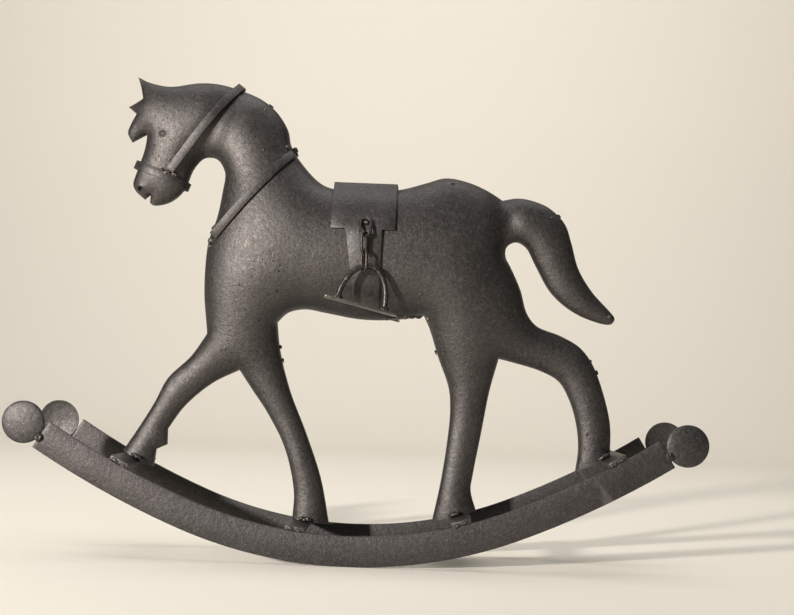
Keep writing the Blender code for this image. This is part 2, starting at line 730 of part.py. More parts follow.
def saddle_section(tree):
    """Taut line over the barrel at the saddle, from the left hem up and over: (y, z) points."""
    middle = on_outline(SADDLE_X, 0.0).x
    xs = [middle + SADDLE_HALF_WIDTH * float(share) for share in np.linspace(-1, 1, 9)]
    reach = SADDLE_HALF_WIDTH + SADDLE_EASE
    back = [on_outline(*p) for p in OUTLINE[0]]
    crown = max(p.y for p in back if abs(p.x - middle) < reach) + SADDLE_RISE - PLATE
    line = []
    for z in np.linspace(on_outline(0.0, SADDLE_HEM).y, crown, SADDLE_SAMPLES)[:-1]:
        height = max(skin_height(tree, x, float(z)) for x in xs)
        line.append((float(z), height + STRAP_CLEARANCE))
    fold = [(crown - FOLD_DROP, FOLD_HALF_WIDTH), (crown, FOLD_FLAT)]
    keep = thinned(upper_hull(line + fold))
    step = on_outline(0.0, SADDLE_STEP).y
    index = next(i for i, point in enumerate(keep) if point[0] > step)
    (z0, y0), (z1, y1) = keep[index - 1], keep[index]
    keep.insert(index, (step, y0 + (y1 - y0) * (step - z0) / (z1 - z0)))
    return [Vector((-y, z)) for z, y in keep]


def girth_edges(z):
    """Front and rear X of the girth strip at a height, and at the step for any above it."""
    step, hem = (on_outline(0.0, mark).y for mark in (SADDLE_STEP, SADDLE_HEM))
    share = max(0.0, (step - z) / (step - hem))
    return tuple(on_outline(a + (b - a) * share, 0.0).x for a, b in (GIRTH_FRONT, GIRTH_REAR))


def build_saddle(section):
    """The folded plate: wide over the back, stepping in to a girth strip on each side."""
    inner = section + [Vector((-p.x, p.y)) for p in section[::-1]]
    outer = thickened(inner, PLATE)
    middle = on_outline(SADDLE_X, 0.0).x
    step = on_outline(0.0, SADDLE_STEP).y
    points, rows = [], []
    for first, second in zip(inner, outer):
        stations = [middle - SADDLE_HALF_WIDTH, *girth_edges(first.y),
                    middle + SADDLE_HALF_WIDTH]
        rows.append([])
        for layer in (first, second):
            rows[-1].append(len(points))
            points += [Vector((x, layer.x, layer.y)) for x in stations]
    faces = []
    for k, (this, following) in enumerate(zip(rows, rows[1:])):
        is_wide = min(inner[k].y, inner[k + 1].y) > step - GAP
        columns = range(3) if is_wide else range(1, 2)
        for layer in (0, 1):
            for c in columns:
                faces.append((this[layer] + c, this[layer] + c + 1,
                              following[layer] + c + 1, following[layer] + c))
        for c in (columns[0], columns[-1] + 1):
            faces.append((this[0] + c, following[0] + c, following[1] + c, this[1] + c))
    closing = [(rows[0], 1), (rows[-1], 1)]
    for row, point in zip(rows, inner):
        if abs(point.y - step) < GAP / 2:
            closing += [(row, 0), (row, 2)]
    for (low, high), c in closing:
        faces.append((low + c, low + c + 1, high + c + 1, high + c))
    used = sorted({i for face in faces for i in face})
    number = {old: new for new, old in enumerate(used)}
    faces = [tuple(number[i] for i in face) for face in faces]
    piece("saddle_plate", [points[i] for i in used], faces, "strip")


# Weld beads on the seam and the straps


def build_seam_beads(outline):
    for number, spot in enumerate(SEAM_BEADS, 1):
        near = on_outline(*spot)
        index = min(range(len(outline)), key=lambda i: (outline[i] - near).length)
        after = outline[(index + 1) % len(outline)]
        along = (after - outline[index]).normalized()
        out = Vector((-along.y, along.x))
        if out.dot(inward_normals(outline)[index]) > 0:
            out = -out
        middle = (outline[index] + after) / 2 + out * (SEAM_BEAD[2] + GAP)
        axes = [Vector((along.x, 0, along.y)), Vector((0, 1, 0)), Vector((out.x, 0, out.y))]
        bead(f"seam_weld_{number}", Vector((middle.x, 0, middle.y)), SEAM_BEAD, axes)


def build_hoof_beads(tree, side_name, side):
    """A bead along the foot of each hoof, on its slat."""
    for name, ends in SOLES.items():
        top, along, up = slat_frame(SLAT_X[name])
        middle = max(-SLAT_WIDTH / 4, min(SLAT_WIDTH / 4, sum(ends) / 2))
        reach = 0.0
        for share in np.linspace(-1, 1, 9):
            for height in (0.5 * MM, HOOF_BEAD[2], 2 * HOOF_BEAD[2]):
                spot = top + along * (middle + HOOF_BEAD[0] * share) + up * (height + GAP)
                reach = max(reach, skin_height(tree, spot.x, spot.z))
        centre = top + along * middle + up * (GAP + HOOF_BEAD[2])
        centre.y = side * (reach + GAP + HOOF_BEAD[1])
        axes = [along, Vector((0, 1, 0)), up]
        bead(f"hoof_weld_{name}_{side_name}", centre, HOOF_BEAD, axes)


# Chains and stirrups


def across_view(yaw):
    """Unit vector in the floor's plane, turned by yaw degrees from +X."""
    return Vector((math.cos(math.radians(yaw)), math.sin(math.radians(yaw)), 0.0))


def link_path(top, down, wide):
    """Centre line of a link that starts at the middle of its top wire and hangs along down."""
    radius = (LINK_WIDTH - WIRE) / 2
    straight = LINK_LENGTH - LINK_WIDTH
    path = []
    for end, turn in ((radius, -1), (radius + straight, 1)):
        for i in range(LINK_BEND_FLATS + 1):
            angle = math.pi * i / LINK_BEND_FLATS
            path.append(top + down * (end + turn * radius * math.sin(angle))
                        + wide * (turn * radius * math.cos(angle)))
    return path


def mirrored(vector, side):
    return Vector((vector.x, vector.y * -side, vector.z))


def build_chain(side_name, side, flap_y):
    """Three links from the flap. Returns the last one's lower wire and its carrier."""
    at = on_outline(*CHAIN_TOP)
    hang_y = flap_y(at.y - 2 * LINK_LENGTH) + CHAIN_CLEARANCE + LINK_WIDTH / 2
    top_y = flap_y(at.y) + GAP + WIRE / 2 + CHAIN_STAND_OFF
    reach = LINK_LENGTH - WIRE
    lean = math.asin(min(1.0, max(0.0, hang_y - top_y) / reach))
    top = Vector((at.x, -top_y, at.y - WIRE / 2))
    down = Vector((0.0, -math.sin(lean), -math.cos(lean)))
    carrier = None
    for number, yaw in enumerate(LINK_YAW, 1):
        name = f"chain_link_{number}_{side_name}"
        path = [mirrored(p, side) for p in link_path(top, down, across_view(yaw))]
        made = rod(name, path, WIRE / 2, 8, "fitting", closed=True)
        if number > 1:
            carrier = pivot(f"pivot_{name}", mirrored(caught, side), carrier)
            carry(carrier, made)
        caught = top + down * reach
        top = caught + Vector((0.0, 0.0, WIRE + LINK_CLEARANCE))
        down = Vector((0.0, 0.0, -1.0))
    build_chain_weld(side_name, side, at, flap_y)
    return caught, carrier


def build_chain_weld(side_name, side, at, flap_y):
    """The button of weld inside the top link that holds it to the flap."""
    radius, height = CHAIN_WELD
    middle_z = at.y - WIRE - GAP - radius
    spot = Vector((at.x, -(flap_y(middle_z - radius) + GAP), middle_z))
    dome = [(0.0, 0.0), (radius, 0.0), (radius * 0.8, height * 0.65), (0.0, height)]
    turned("chain_weld_" + side_name, dome, mirrored(spot, side),
           mirrored(Vector((0, -1, 0)), side), 10, "weld")


def mesh_centroid(pieces):
    """Centre of mass of some closed meshes of one metal."""
    total, moment = 0.0, Vector()
    for made in pieces:
        mesh = made.data
        mesh.calc_loop_triangles()
        for triangle in mesh.loop_triangles:
            a, b, c = (made.matrix_world @ mesh.vertices[i].co for i in triangle.vertices)
            volume = a.dot(b.cross(c)) / 6
            total += volume
            moment += (a + b + c) / 4 * volume
    return moment / total


def build_stirrup(side_name, side, catch, carrier):
    """Arch and tread, hung on the last link's bottom wire (centre at catch) and plumb."""
    arch = []
    for i in range(17):
        angle = math.pi * i / 16
        arch.append(Vector((-STIRRUP_HALF_WIDTH * math.cos(angle), 0.0,
                            TREAD_THICKNESS + GAP + STIRRUP_RISE * math.sin(angle))))
    pieces = [rod("stirrup_arch_" + side_name, arch, STIRRUP_ROD / 2, 8, "fitting")]
    half = Vector((TREAD_LENGTH / 2 - TREAD_CORNER, TREAD_WIDTH / 2 - TREAD_CORNER, 0.0))
    outline = []
    for quarter, (sx, sy) in enumerate(((1, 1), (-1, 1), (-1, -1), (1, -1))):
        for i in range(4):
            angle = math.pi / 2 * (quarter + i / 3)
            outline.append(Vector((half.x * sx + TREAD_CORNER * math.cos(angle),
                                   half.y * sy + TREAD_CORNER * math.sin(angle), 0.0)))
    pieces.append(prism("stirrup_tread_" + side_name, outline, Vector(),
                        Vector((0.0, 0.0, TREAD_THICKNESS)), "fitting"))
    bore = STIRRUP_ROD / 2 + 2 * GAP
    for end_name, end in (("front", -1), ("rear", 1)):
        foot = Vector((end * STIRRUP_HALF_WIDTH, 0.0, TREAD_THICKNESS + GAP))
        ring = [(bore, 0.0), (COLLAR_RADIUS, 0.0), (COLLAR_RADIUS * 0.85, COLLAR_HEIGHT * 0.5),
                (bore + 0.5 * MM, COLLAR_HEIGHT), (bore, COLLAR_HEIGHT)]
        pieces.append(turned(f"stirrup_weld_{end_name}_{side_name}", ring, foot,
                             Vector((0, 0, 1)), 10, "weld", closed=True))
    share = STIRRUP_CATCH / STIRRUP_HALF_WIDTH
    height = STIRRUP_RISE * math.sqrt(1 - share * share)
    out = Vector((-STIRRUP_CATCH / STIRRUP_HALF_WIDTH**2, 0.0, height / STIRRUP_RISE**2))
    contact = Vector((-STIRRUP_CATCH, 0.0, TREAD_THICKNESS + GAP + height))
    wire = contact - out.normalized() * ((STIRRUP_ROD + WIRE) / 2 + LINK_CLEARANCE)
    bpy.context.view_layer.update()
    weight = mesh_centroid(pieces) - wire
    tilt = math.atan2(weight.x, -weight.z)
    place = Matrix.Translation(mirrored(catch, side))
    turn = Matrix.Rotation(math.radians(STIRRUP_YAW * -side), 4, "Z")
    lean = Matrix.Rotation(tilt, 4, "Y")
    for made in pieces:
        made.data.transform(place @ turn @ lean @ Matrix.Translation(-wire))
    hanger = pivot("pivot_stirrup_" + side_name, mirrored(catch, side), carrier)
    carry(hanger, *pieces)


# Assembly


def clear_scene():
    for existing in list(bpy.data.objects):
        bpy.data.objects.remove(existing, do_unlink=True)


def main():
    clear_scene()
    sides = (("left", -1), ("right", 1))
    for side_name, side in sides:
        build_rocker(side_name, side)
    for name, x in SLAT_X.items():
        build_slat(name, x)
    surface = shell_surface()
    trees = [build_half_shell(side_name, side, surface) for side_name, side in sides]
    tree = trees[0]
    build_noseband(tree)
    section = saddle_section(tree)
    build_saddle(section)

    def flap_y(z):
        heights = [(p.y, -p.x + PLATE) for p in section]
        return float(np.interp(z, [h[0] for h in heights], [h[1] for h in heights]))

    for side_name, side in sides:
        build_strap("cheek_strap_" + side_name, tree, CHEEK_STRAP, STRAP_WIDTH, side)
        build_strap("neck_strap_" + side_name, tree, NECK_STRAP, NECK_STRAP_WIDTH, side)
        build_hoof_beads(tree, side_name, side)
        catch, carrier = build_chain(side_name, side, flap_y)
        build_stirrup(side_name, side, catch, carrier)
    build_seam_beads(surface[1][:surface[0]])


main()
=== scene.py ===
"""Looks of a pressed and welded sheet-steel rocking horse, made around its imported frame.

Everything is in metres with +Z up. The horse looks along -X and its left side faces -Y.
"""

import logging
import math
from dataclasses import dataclass, field
from enum import Enum

import bmesh
import bpy
import numpy as np
from mathutils import Matrix, Vector, noise
from mathutils.bvhtree import BVHTree
from mathutils.geometry import delaunay_2d_cdt


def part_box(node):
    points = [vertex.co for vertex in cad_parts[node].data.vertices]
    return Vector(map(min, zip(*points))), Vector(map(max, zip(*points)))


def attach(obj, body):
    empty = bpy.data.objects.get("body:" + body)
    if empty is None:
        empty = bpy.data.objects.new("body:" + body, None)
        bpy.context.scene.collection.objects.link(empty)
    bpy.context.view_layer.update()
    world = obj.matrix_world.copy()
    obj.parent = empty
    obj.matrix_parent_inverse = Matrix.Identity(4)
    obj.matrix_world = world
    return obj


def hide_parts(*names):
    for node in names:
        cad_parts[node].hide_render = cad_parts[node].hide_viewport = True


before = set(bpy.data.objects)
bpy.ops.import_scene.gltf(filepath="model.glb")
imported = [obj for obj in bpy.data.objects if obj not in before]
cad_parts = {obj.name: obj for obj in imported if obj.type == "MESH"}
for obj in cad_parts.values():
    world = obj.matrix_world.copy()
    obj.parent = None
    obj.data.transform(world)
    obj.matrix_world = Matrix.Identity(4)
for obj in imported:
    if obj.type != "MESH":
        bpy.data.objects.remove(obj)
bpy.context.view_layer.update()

MM = 0.001
GAP = 0.3 * MM  # between neighbouring pieces, as in the frame
CURVE_PARTS = 16  # of a curve between two of its knots
WELDED = 0.01 * MM  # points nearer than this are one
log = logging.getLogger("rocking_horse")

Colour = tuple[float, float, float, float]
Face = tuple[int, ...]


class Side(Enum):
    """The horse's own left and right, with the sign of Y on each."""

    LEFT = -1
    RIGHT = 1

    @property
    def word(self) -> str:
        """The side's name as the frame's nodes end in it."""
        return self.name.lower()


class End(Enum):
    """The rockers' two ends, with the sign of X at each."""

    FRONT = -1
    REAR = 1

    @property
    def word(self) -> str:
        """The end's name as the frame's nodes hold it."""
        return self.name.lower()


class Slot(Enum):
    """The record's material slots."""

    SHELL = "shell_paint"
    STRIP = "strip_paint"
    FITTING = "fitting_paint"
    WELD = "weld_metal"


# Materials


def linear(hex_colour: str) -> Colour:
    """Turn an sRGB hex colour into Blender's linear values.

    Args:
        hex_colour: Six hex digits after a hash.

    Returns:
        Linear red, green, blue and an alpha of one.
    """
    parts = [int(hex_colour[i:i + 2], 16) / 255 for i in (1, 3, 5)]
    red, green, blue = (
        part / 12.92 if part <= 0.04045 else ((part + 0.055) / 1.055) ** 2.4 for part in parts
    )
    return red, green, blue, 1.0


def add_node(
    tree: bpy.types.NodeTree, kind: str, settings: dict[str, object], links: dict[str, object]
) -> bpy.types.Node:
    """Add one node with its settings and inputs.

    Args:
        tree: The material's or world's node tree.
        kind: Blender's name of the node type.
        settings: Properties of the node.
        links: For each input, a socket to link from or a value to hold. Where several inputs
            share a name, the key is the input's identifier.

    Returns:
        The new node.
    """
    node = tree.nodes.new(kind)
    for name, value in settings.items():
        setattr(node, name, value)
    for name, value in links.items():
        socket = next(s for s in node.inputs if name in (s.identifier, s.name) and s.enabled)
        if isinstance(value, bpy.types.NodeSocket):
            tree.links.new(value, socket)
        else:
            socket.default_value = value
    return node


def blank_material(
    name: str,
) -> tuple[bpy.types.Material, bpy.types.NodeTree, bpy.types.NodeSocket]:
    """Start a node material.

    Args:
        name: Name of the material.

    Returns:
        The material, its empty node tree and a socket with the object's own coordinates.
    """
    made = bpy.data.materials.new(name)
    made.use_nodes = True
    made.node_tree.nodes.clear()
    place = add_node(made.node_tree, "ShaderNodeTexCoord", {}, {}).outputs["Object"]
    return made, made.node_tree, place


@dataclass(frozen=True)
class GunmetalPaint:
    """Mild steel under a thin sprayed coat of dark grey-brown paint with metal flake.

    The flake gives the eye a soft sheen that fades from one end of a flat face to the other,
    the thin coat lets hammer marks and pits through, and handling rubs the edges paler.
    """

    name: str
    coat: str = "#4d4a48"
    cloud: str = "#393635"
    rubbed: str = "#6e6966"
    pit: str = "#0a0908"
    cloud_mm: float = 42.0  # patches where the coat is thicker
    mottle_mm: float = 3.5  # spatter of the spray
    grain_mm: float = 1.1  # real flake is far finer; drawn this coarse so that it shows
    pit_spacing_mm: float = 5.0
    pit_radius_mm: float = 0.65
    pit_share: float = 0.45  # share of the surface where pits gather
    gather_mm: float = 60.0  # breadth of the patches where pits gather
    speck_share: float = 0.45  # size and spacing of the finest pits, as a share of the pits'
    roughness: float = 0.5
    metallic: float = 0.85
    relief: float = 0.75

    def make(self) -> bpy.types.Material:
        """Build the node material.

        Returns:
            The material, named for the finish.
        """
        made, tree, place = blank_material(self.name)
        clouds, mottle, grain, gather = (
            add_node(tree, "ShaderNodeTexNoise", {}, {
                "Vector": place, "Scale": 1 / (size * MM), "Detail": detail, "Roughness": 0.6,
            }).outputs["Fac"]
            for size, detail in (
                (self.cloud_mm, 4.0), (self.mottle_mm, 5.0), (self.grain_mm, 2.0),
                (self.gather_mm, 2.0),
            )
        )
        pits = self._spots(tree, place, gather, self.pit_spacing_mm, self.pit_radius_mm)
        specks = self._spots(tree, place, gather, self.pit_spacing_mm * self.speck_share,
                             self.pit_radius_mm * self.speck_share)
        # the pits and the finer specks in one mask, painted near black in _colour and sunk by the
        # bump
        pits_and_specks = add_node(tree, "ShaderNodeMath", {"operation": "MAXIMUM"}, {
            "Value": pits, "Value_001": specks}).outputs[0]
        colour = self._colour(tree, clouds, mottle, grain, pits_and_specks)
        roughness = add_node(tree, "ShaderNodeMapRange", {}, {
            "Value": mottle, "From Min": 0.3, "From Max": 0.7,
            "To Min": self.roughness - 0.07, "To Max": self.roughness + 0.09,
        }).outputs[0]
        peel = add_node(tree, "ShaderNodeBump", {}, {
            "Strength": self.relief, "Distance": 0.5 * MM, "Height": mottle}).outputs[0]
        flake = add_node(tree, "ShaderNodeBump", {}, {
            "Strength": self.relief, "Distance": 0.12 * MM, "Height": grain,
            "Normal": peel}).outputs[0]
        sunk = add_node(tree, "ShaderNodeBump", {"invert": True}, {
            "Strength": 0.9, "Distance": 0.35 * MM, "Height": pits_and_specks, "Normal": flake}).outputs[0]
        shader = add_node(tree, "ShaderNodeBsdfPrincipled", {}, {
            "Base Color": colour, "Metallic": self.metallic, "Roughness": roughness,
            "Normal": sunk})
        add_node(tree, "ShaderNodeOutputMaterial", {}, {"Surface": shader.outputs[0]})
        return made

    def _spots(
        self, tree: bpy.types.NodeTree, place: bpy.types.NodeSocket,
        gather: bpy.types.NodeSocket, spacing: float, radius: float,
    ) -> bpy.types.NodeSocket:
        """Scatter small round pits where the gathering noise is high.

        Args:
            tree: The material's node tree.
            place: Object coordinates.
            gather: Slow noise that says where pits lie.
            spacing: Mean distance between pits in millimetres.
            radius: Radius of a pit in millimetres.

        Returns:
            A mask, one inside a pit.
        """
        cells = add_node(tree, "ShaderNodeTexVoronoi", {}, {
            "Vector": place, "Scale": 1 / (spacing * MM), "Randomness": 1.0}).outputs["Distance"]
        edge = radius / spacing
        dots = add_node(tree, "ShaderNodeMapRange", {}, {
            "Value": cells, "From Min": edge, "From Max": edge * 0.7,
            "To Min": 0.0, "To Max": 1.0}).outputs[0]
        level = 0.64 - 0.3 * self.pit_share
        where = add_node(tree, "ShaderNodeMapRange", {}, {
            "Value": gather, "From Min": level, "From Max": level + 0.05,
            "To Min": 0.0, "To Max": 1.0}).outputs[0]
        return add_node(tree, "ShaderNodeMath", {"operation": "MULTIPLY"}, {
            "Value": dots, "Value_001": where}).outputs[0]

    def _colour(
        self, tree: bpy.types.NodeTree, clouds: bpy.types.NodeSocket,
        mottle: bpy.types.NodeSocket, grain: bpy.types.NodeSocket, pits_and_specks: bpy.types.NodeSocket,
    ) -> bpy.types.NodeSocket:
        """Lay the coat, its clouds, the rubbed spots and edges, and the pits painted near black.

        Args:
            tree: The material's node tree.
            clouds: Slow noise.
            mottle: Noise of the spray.
            grain: Fine noise.
            pits_and_specks: Mask of the pits.

        Returns:
            The colour socket.
        """
        edge = add_node(tree, "ShaderNodeNewGeometry", {}, {}).outputs["Pointiness"]
        # tone, mask, the mask's levels for none and for most of it, and how much that is
        masks = [
            (linear(self.cloud), clouds, 0.62, 0.38, 0.5),
            (linear(self.rubbed), mottle, 0.5, 0.8, 0.4),
            (linear(self.cloud), grain, 0.5, 0.32, 0.9),
            (linear(self.rubbed), grain, 0.55, 0.72, 0.5),
            (linear(self.rubbed), edge, 0.53, 0.62, 0.7),
            (linear(self.pit), pits_and_specks, 0.0, 1.0, 0.9),
        ]
        colour: object = linear(self.coat)
        for tone, mask, low, high, most in masks:
            share = add_node(tree, "ShaderNodeMapRange", {}, {
                "Value": mask, "From Min": low, "From Max": high,
                "To Min": 0.0, "To Max": most}).outputs[0]
            colour = add_node(tree, "ShaderNodeMix", {"data_type": "RGBA"}, {
                "Factor_Float": share, "A_Color": colour, "B_Color": tone}).outputs["Result"]
        return colour


SHELL_FINISH = GunmetalPaint("gunmetal_paint_on_pressed_sheet")
STRIP_FINISH = GunmetalPaint("gunmetal_paint_on_flat_strip", coat="#4c4948", cloud="#3a3736",
                             pit_share=0.9, pit_radius_mm=0.4, pit_spacing_mm=4.5)
FITTING_FINISH = GunmetalPaint("gunmetal_paint_on_round_bar", coat="#45403d", cloud="#262220",
                               rubbed="#8b8279", mottle_mm=3.0, roughness=0.38, metallic=0.75,
                               pit_share=0.2, relief=0.7)
WELD_FINISH = GunmetalPaint("painted_arc_weld_bead", coat="#4a4542", cloud="#1f1c1a",
                            rubbed="#7f7770", mottle_mm=2.0, roughness=0.42, metallic=0.75,
                            pit_share=0.5, pit_spacing_mm=3.0, relief=0.9)
FINISHES = {
    Slot.SHELL: SHELL_FINISH, Slot.STRIP: STRIP_FINISH,
    Slot.FITTING: FITTING_FINISH, Slot.WELD: WELD_FINISH,
}


@dataclass(frozen=True)
class MattPaper:
    """Pale background paper, matt, with the faintest tooth."""

    name: str = "matt_background_paper"
    tone: str = "#f4ede0"
    tooth_mm: float = 4.0

    def make(self) -> bpy.types.Material:
        """Build the node material.

        Returns:
            The material, named for the paper.
        """
        made, tree, place = blank_material(self.name)
        tooth = add_node(tree, "ShaderNodeTexNoise", {}, {
            "Vector": place, "Scale": 1 / (self.tooth_mm * MM), "Detail": 3.0}).outputs["Fac"]
        bump = add_node(tree, "ShaderNodeBump", {}, {
            "Strength": 0.08, "Distance": 0.2 * MM, "Height": tooth}).outputs[0]
        shader = add_node(tree, "ShaderNodeBsdfPrincipled", {}, {
            "Base Color": linear(self.tone), "Roughness": 0.9, "Normal": bump})
        add_node(tree, "ShaderNodeOutputMaterial", {}, {"Surface": shader.outputs[0]})
        return made


@dataclass
class PaintShop:
    """Makes each finish once and hands it to the pieces."""

    made: dict[Slot, bpy.types.Material] = field(default_factory=dict)

    def material(self, slot: Slot) -> bpy.types.Material:
        """The material of a slot, made on first use."""
        if slot not in self.made:
            self.made[slot] = FINISHES[slot].make()
        return self.made[slot]


PAINT = PaintShop()


# Mesh work


def new_piece(
    name: str, points: list[Vector], faces: list[Face], slot: Slot, body: str = "root",
    replaces: tuple[str, ...] = (), bevel: float = 0.0, soften: int = 0,
) -> bpy.types.Object:
    """Make one closed piece, dress it and fasten it to a body.

    Args:
        name: Name of the piece.
        points: Its points in the row frame.
        faces: Its faces as indices into the points.
        slot: The material slot it takes its finish from.
        body: The frame's body that it rides on.
        replaces: The frame's nodes that it stands for.
        bevel: Width of the rounding along its sharp edges, in metres.
        soften: Levels of subdivision after the bevel.

    Returns:
        The object.
    """
    mesh = bpy.data.meshes.new(name)
    mesh.from_pydata([tuple(point) for point in points], [], faces)
    shape = bmesh.new()
    shape.from_mesh(mesh)
    bmesh.ops.recalc_face_normals(shape, faces=shape.faces)
    if shape.calc_volume(signed=True) < 0:
        bmesh.ops.reverse_faces(shape, faces=shape.faces)
    shape.to_mesh(mesh)
    shape.free()
    made = bpy.data.objects.new(name, mesh)
    bpy.context.scene.collection.objects.link(made)
    if bevel:
        rounding = made.modifiers.new("rounding", "BEVEL")
        rounding.width = bevel
        rounding.segments = 2
        rounding.limit_method = "ANGLE"
        rounding.angle_limit = math.radians(40)
    if soften:
        softening = made.modifiers.new("softening", "SUBSURF")
        softening.levels = soften
        softening.render_levels = soften
    apply_modifiers(made)
    made.data.materials.clear()
    made.data.materials.append(PAINT.material(slot))
    made.data.shade_smooth()
    made.data.set_sharp_from_angle(angle=math.radians(50))
    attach(made, body)
    if replaces:
        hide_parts(*replaces)
    log.info("%s: %d faces on %s", name, len(made.data.polygons), body)
    return made


def taken_apart(shape: bmesh.types.BMesh) -> tuple[list[Vector], list[Face]]:
    """Take a mesh's points and faces out of its editing form and free that."""
    points = [vertex.co.copy() for vertex in shape.verts]
    faces = [tuple(vertex.index for vertex in face.verts) for face in shape.faces]
    shape.free()
    return points, faces


def node_shape(node: str) -> bmesh.types.BMesh:
    """A frame node's mesh in its editing form, with its split points joined."""
    shape = bmesh.new()
    shape.from_mesh(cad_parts[node].data)
    bmesh.ops.remove_doubles(shape, verts=shape.verts, dist=WELDED)
    return shape


def apply_modifiers(made: bpy.types.Object) -> None:
    """Turn the object's modifiers into its mesh."""
    if made.modifiers:
        bpy.context.view_layer.update()
        graph = bpy.context.evaluated_depsgraph_get()
        mesh = bpy.data.meshes.new_from_object(made.evaluated_get(graph))
        made.modifiers.clear()
        made.data = mesh


def roughen(made: bpy.types.Object, depth: float, size: float, swell: float = 0.0) -> None:
    """Move a piece's points along their normals, by lumps and an even swelling.

    Args:
        made: The piece.
        depth: Height of the lumps in metres.
        size: Breadth of a lump in metres.
        swell: Even growth in metres.
    """
    mesh = made.data
    moves = []
    for vertex in mesh.vertices:
        lump = noise.noise(vertex.co / size) * depth
        moves.append(vertex.co + vertex.normal * (swell + lump))
    for vertex, place in zip(mesh.vertices, moves):
        vertex.co = place
    mesh.update()


def thick_sheet(
    outer: list[Vector], inner: list[Vector], faces: list[Face]
) -> tuple[list[Vector], list[Face]]:
    """Close two matching layers of points into one solid along the faces' free edges.

    Args:
        outer: Points of the outer layer.
        inner: Points of the inner layer, in the same order.
        faces: The outer layer's faces.

    Returns:
        Points and faces of the solid, with unused points left out.
    """
    size = len(outer)
    count: dict[tuple[int, int], list[tuple[int, int]]] = {}
    for face in faces:
        for a, b in zip(face, face[1:] + face[:1]):
            count.setdefault((min(a, b), max(a, b)), []).append((a, b))
    walls = [used[0] for used in count.values() if len(used) == 1]
    solid = list(faces)
    solid += [tuple(i + size for i in reversed(face)) for face in faces]
    solid += [(b, a, a + size, b + size) for a, b in walls]
    used = sorted({i for face in solid for i in face})
    number = {old: new for new, old in enumerate(used)}
    points = outer + inner
    return [points[i] for i in used], [tuple(number[i] for i in face) for face in solid]


def smooth_run(points: list[Vector], step: float) -> list[Vector]:
    """Run a centripetal Catmull-Rom curve through points.

    Args:
        points: Points of the run in the seam plane.
        step: Distance between the new points.

    Returns:
        Evenly spaced points, with both ends kept.
    """
    points = [points[0] * 2 - points[1]] + points + [points[-1] * 2 - points[-2]]
    fine = []
    for corners in zip(points, points[1:], points[2:], points[3:]):
        times = [0.0]
        for a, b in zip(corners, corners[1:]):
            times.append(times[-1] + math.sqrt((b - a).length))
        for t in np.linspace(times[1], times[2], CURVE_PARTS, endpoint=False).tolist():
            layer, reach = list(corners), 1
            while len(layer) > 1:
                if len(layer) == 2:
                    spans = [(times[1], times[2])]
                else:
                    spans = [(times[k], times[k + reach]) for k in range(len(layer) - 1)]
                layer = [a * ((high - t) / (high - low)) + b * ((t - low) / (high - low))
                         for a, b, (low, high) in zip(layer, layer[1:], spans)]
                reach += 1
            fine.append(layer[0])
    fine.append(points[-2])
    return resampled(fine, step, fewest=1)


def distance_to_edge(spots: np.ndarray, edge: np.ndarray) -> tuple[np.ndarray, np.ndarray]:
    """Measure how far spots lie from a closed outline.

    Args:
        spots: Points in the seam plane.
        edge: Points of the outline.

    Returns:
        The distance of each spot to the outline, and whether it lies inside.
    """
    spans = np.roll(edge, -1, axis=0) - edge
    nearest = np.empty(len(spots))
    inside = np.empty(len(spots), bool)
    for start in range(0, len(spots), 500):
        part = spots[start:start + 500]
        offsets = part[:, None, :] - edge[None]
        share = np.clip((offsets * spans).sum(-1) / (spans**2).sum(-1), 0.0, 1.0)
        away = np.linalg.norm(offsets - share[..., None] * spans, axis=-1)
        nearest[start:start + 500] = away.min(axis=1)
        below = part[:, None, 1] < edge[None, :, 1]
        next_below = part[:, None, 1] < (edge + spans)[None, :, 1]
        rise = np.where(spans[:, 1] == 0.0, 1.0, spans[:, 1])
        crossing = edge[:, 0] + offsets[..., 1] / rise * spans[:, 0]
        crossed = (below != next_below) & (part[:, None, 0] < crossing)
        inside[start:start + 500] = crossed.sum(axis=1) % 2 == 1
    return nearest, inside


def blown_film(plan: np.ndarray, triangles: np.ndarray, held: np.ndarray) -> np.ndarray:
    """Blow up a film over the triangles, as a press bulges sheet between its clamped edges.

    The film's height solves Poisson's equation with the usual cotangent weights, by conjugate
    gradients, and is free where its edge isn't held.

    Args:
        plan: Points in the seam plane.
        triangles: Corners of each triangle.
        held: Whether each point is held down.

    Returns:
        The film's height at each point.
    """
    corners = plan[triangles]
    edge_1, edge_2 = corners[:, 1] - corners[:, 0], corners[:, 2] - corners[:, 0]
    areas = np.abs(edge_1[:, 0] * edge_2[:, 1] - edge_1[:, 1] * edge_2[:, 0]) / 2
    size = len(plan)
    firsts, seconds, weights = [], [], []
    for a, b, c in ((0, 1, 2), (1, 2, 0), (2, 0, 1)):
        to_a, to_b = corners[:, a] - corners[:, c], corners[:, b] - corners[:, c]
        firsts.append(triangles[:, a])
        seconds.append(triangles[:, b])
        weights.append((to_a * to_b).sum(axis=1) / (4 * areas))
    first, second, weight = map(np.concatenate, (firsts, seconds, weights))
    load = np.bincount(triangles.ravel(), np.repeat(areas / 3, 3), size)
    diagonal = np.bincount(first, weight, size) + np.bincount(second, weight, size)

    def stretched(height: np.ndarray) -> np.ndarray:
        """Force of the film's tension on each free point."""
        pull = diagonal * height
        pull -= np.bincount(first, weight * height[second], size)
        pull -= np.bincount(second, weight * height[first], size)
        return np.where(held, 0.0, pull)

    height = np.zeros(size)
    rest = np.where(held, 0.0, load)
    ready = rest / diagonal
    along = ready.copy()
    energy = rest @ ready
    for _ in range(2000):
        force = stretched(along)
        stride = energy / (along @ force)
        height += stride * along
        rest -= stride * force
        ready = rest / diagonal
        following = rest @ ready
        if following < 1e-18 * len(plan) * load.max():
            break
        along = ready + along * (following / energy)
        energy = following
    return np.maximum(height, 0.0)


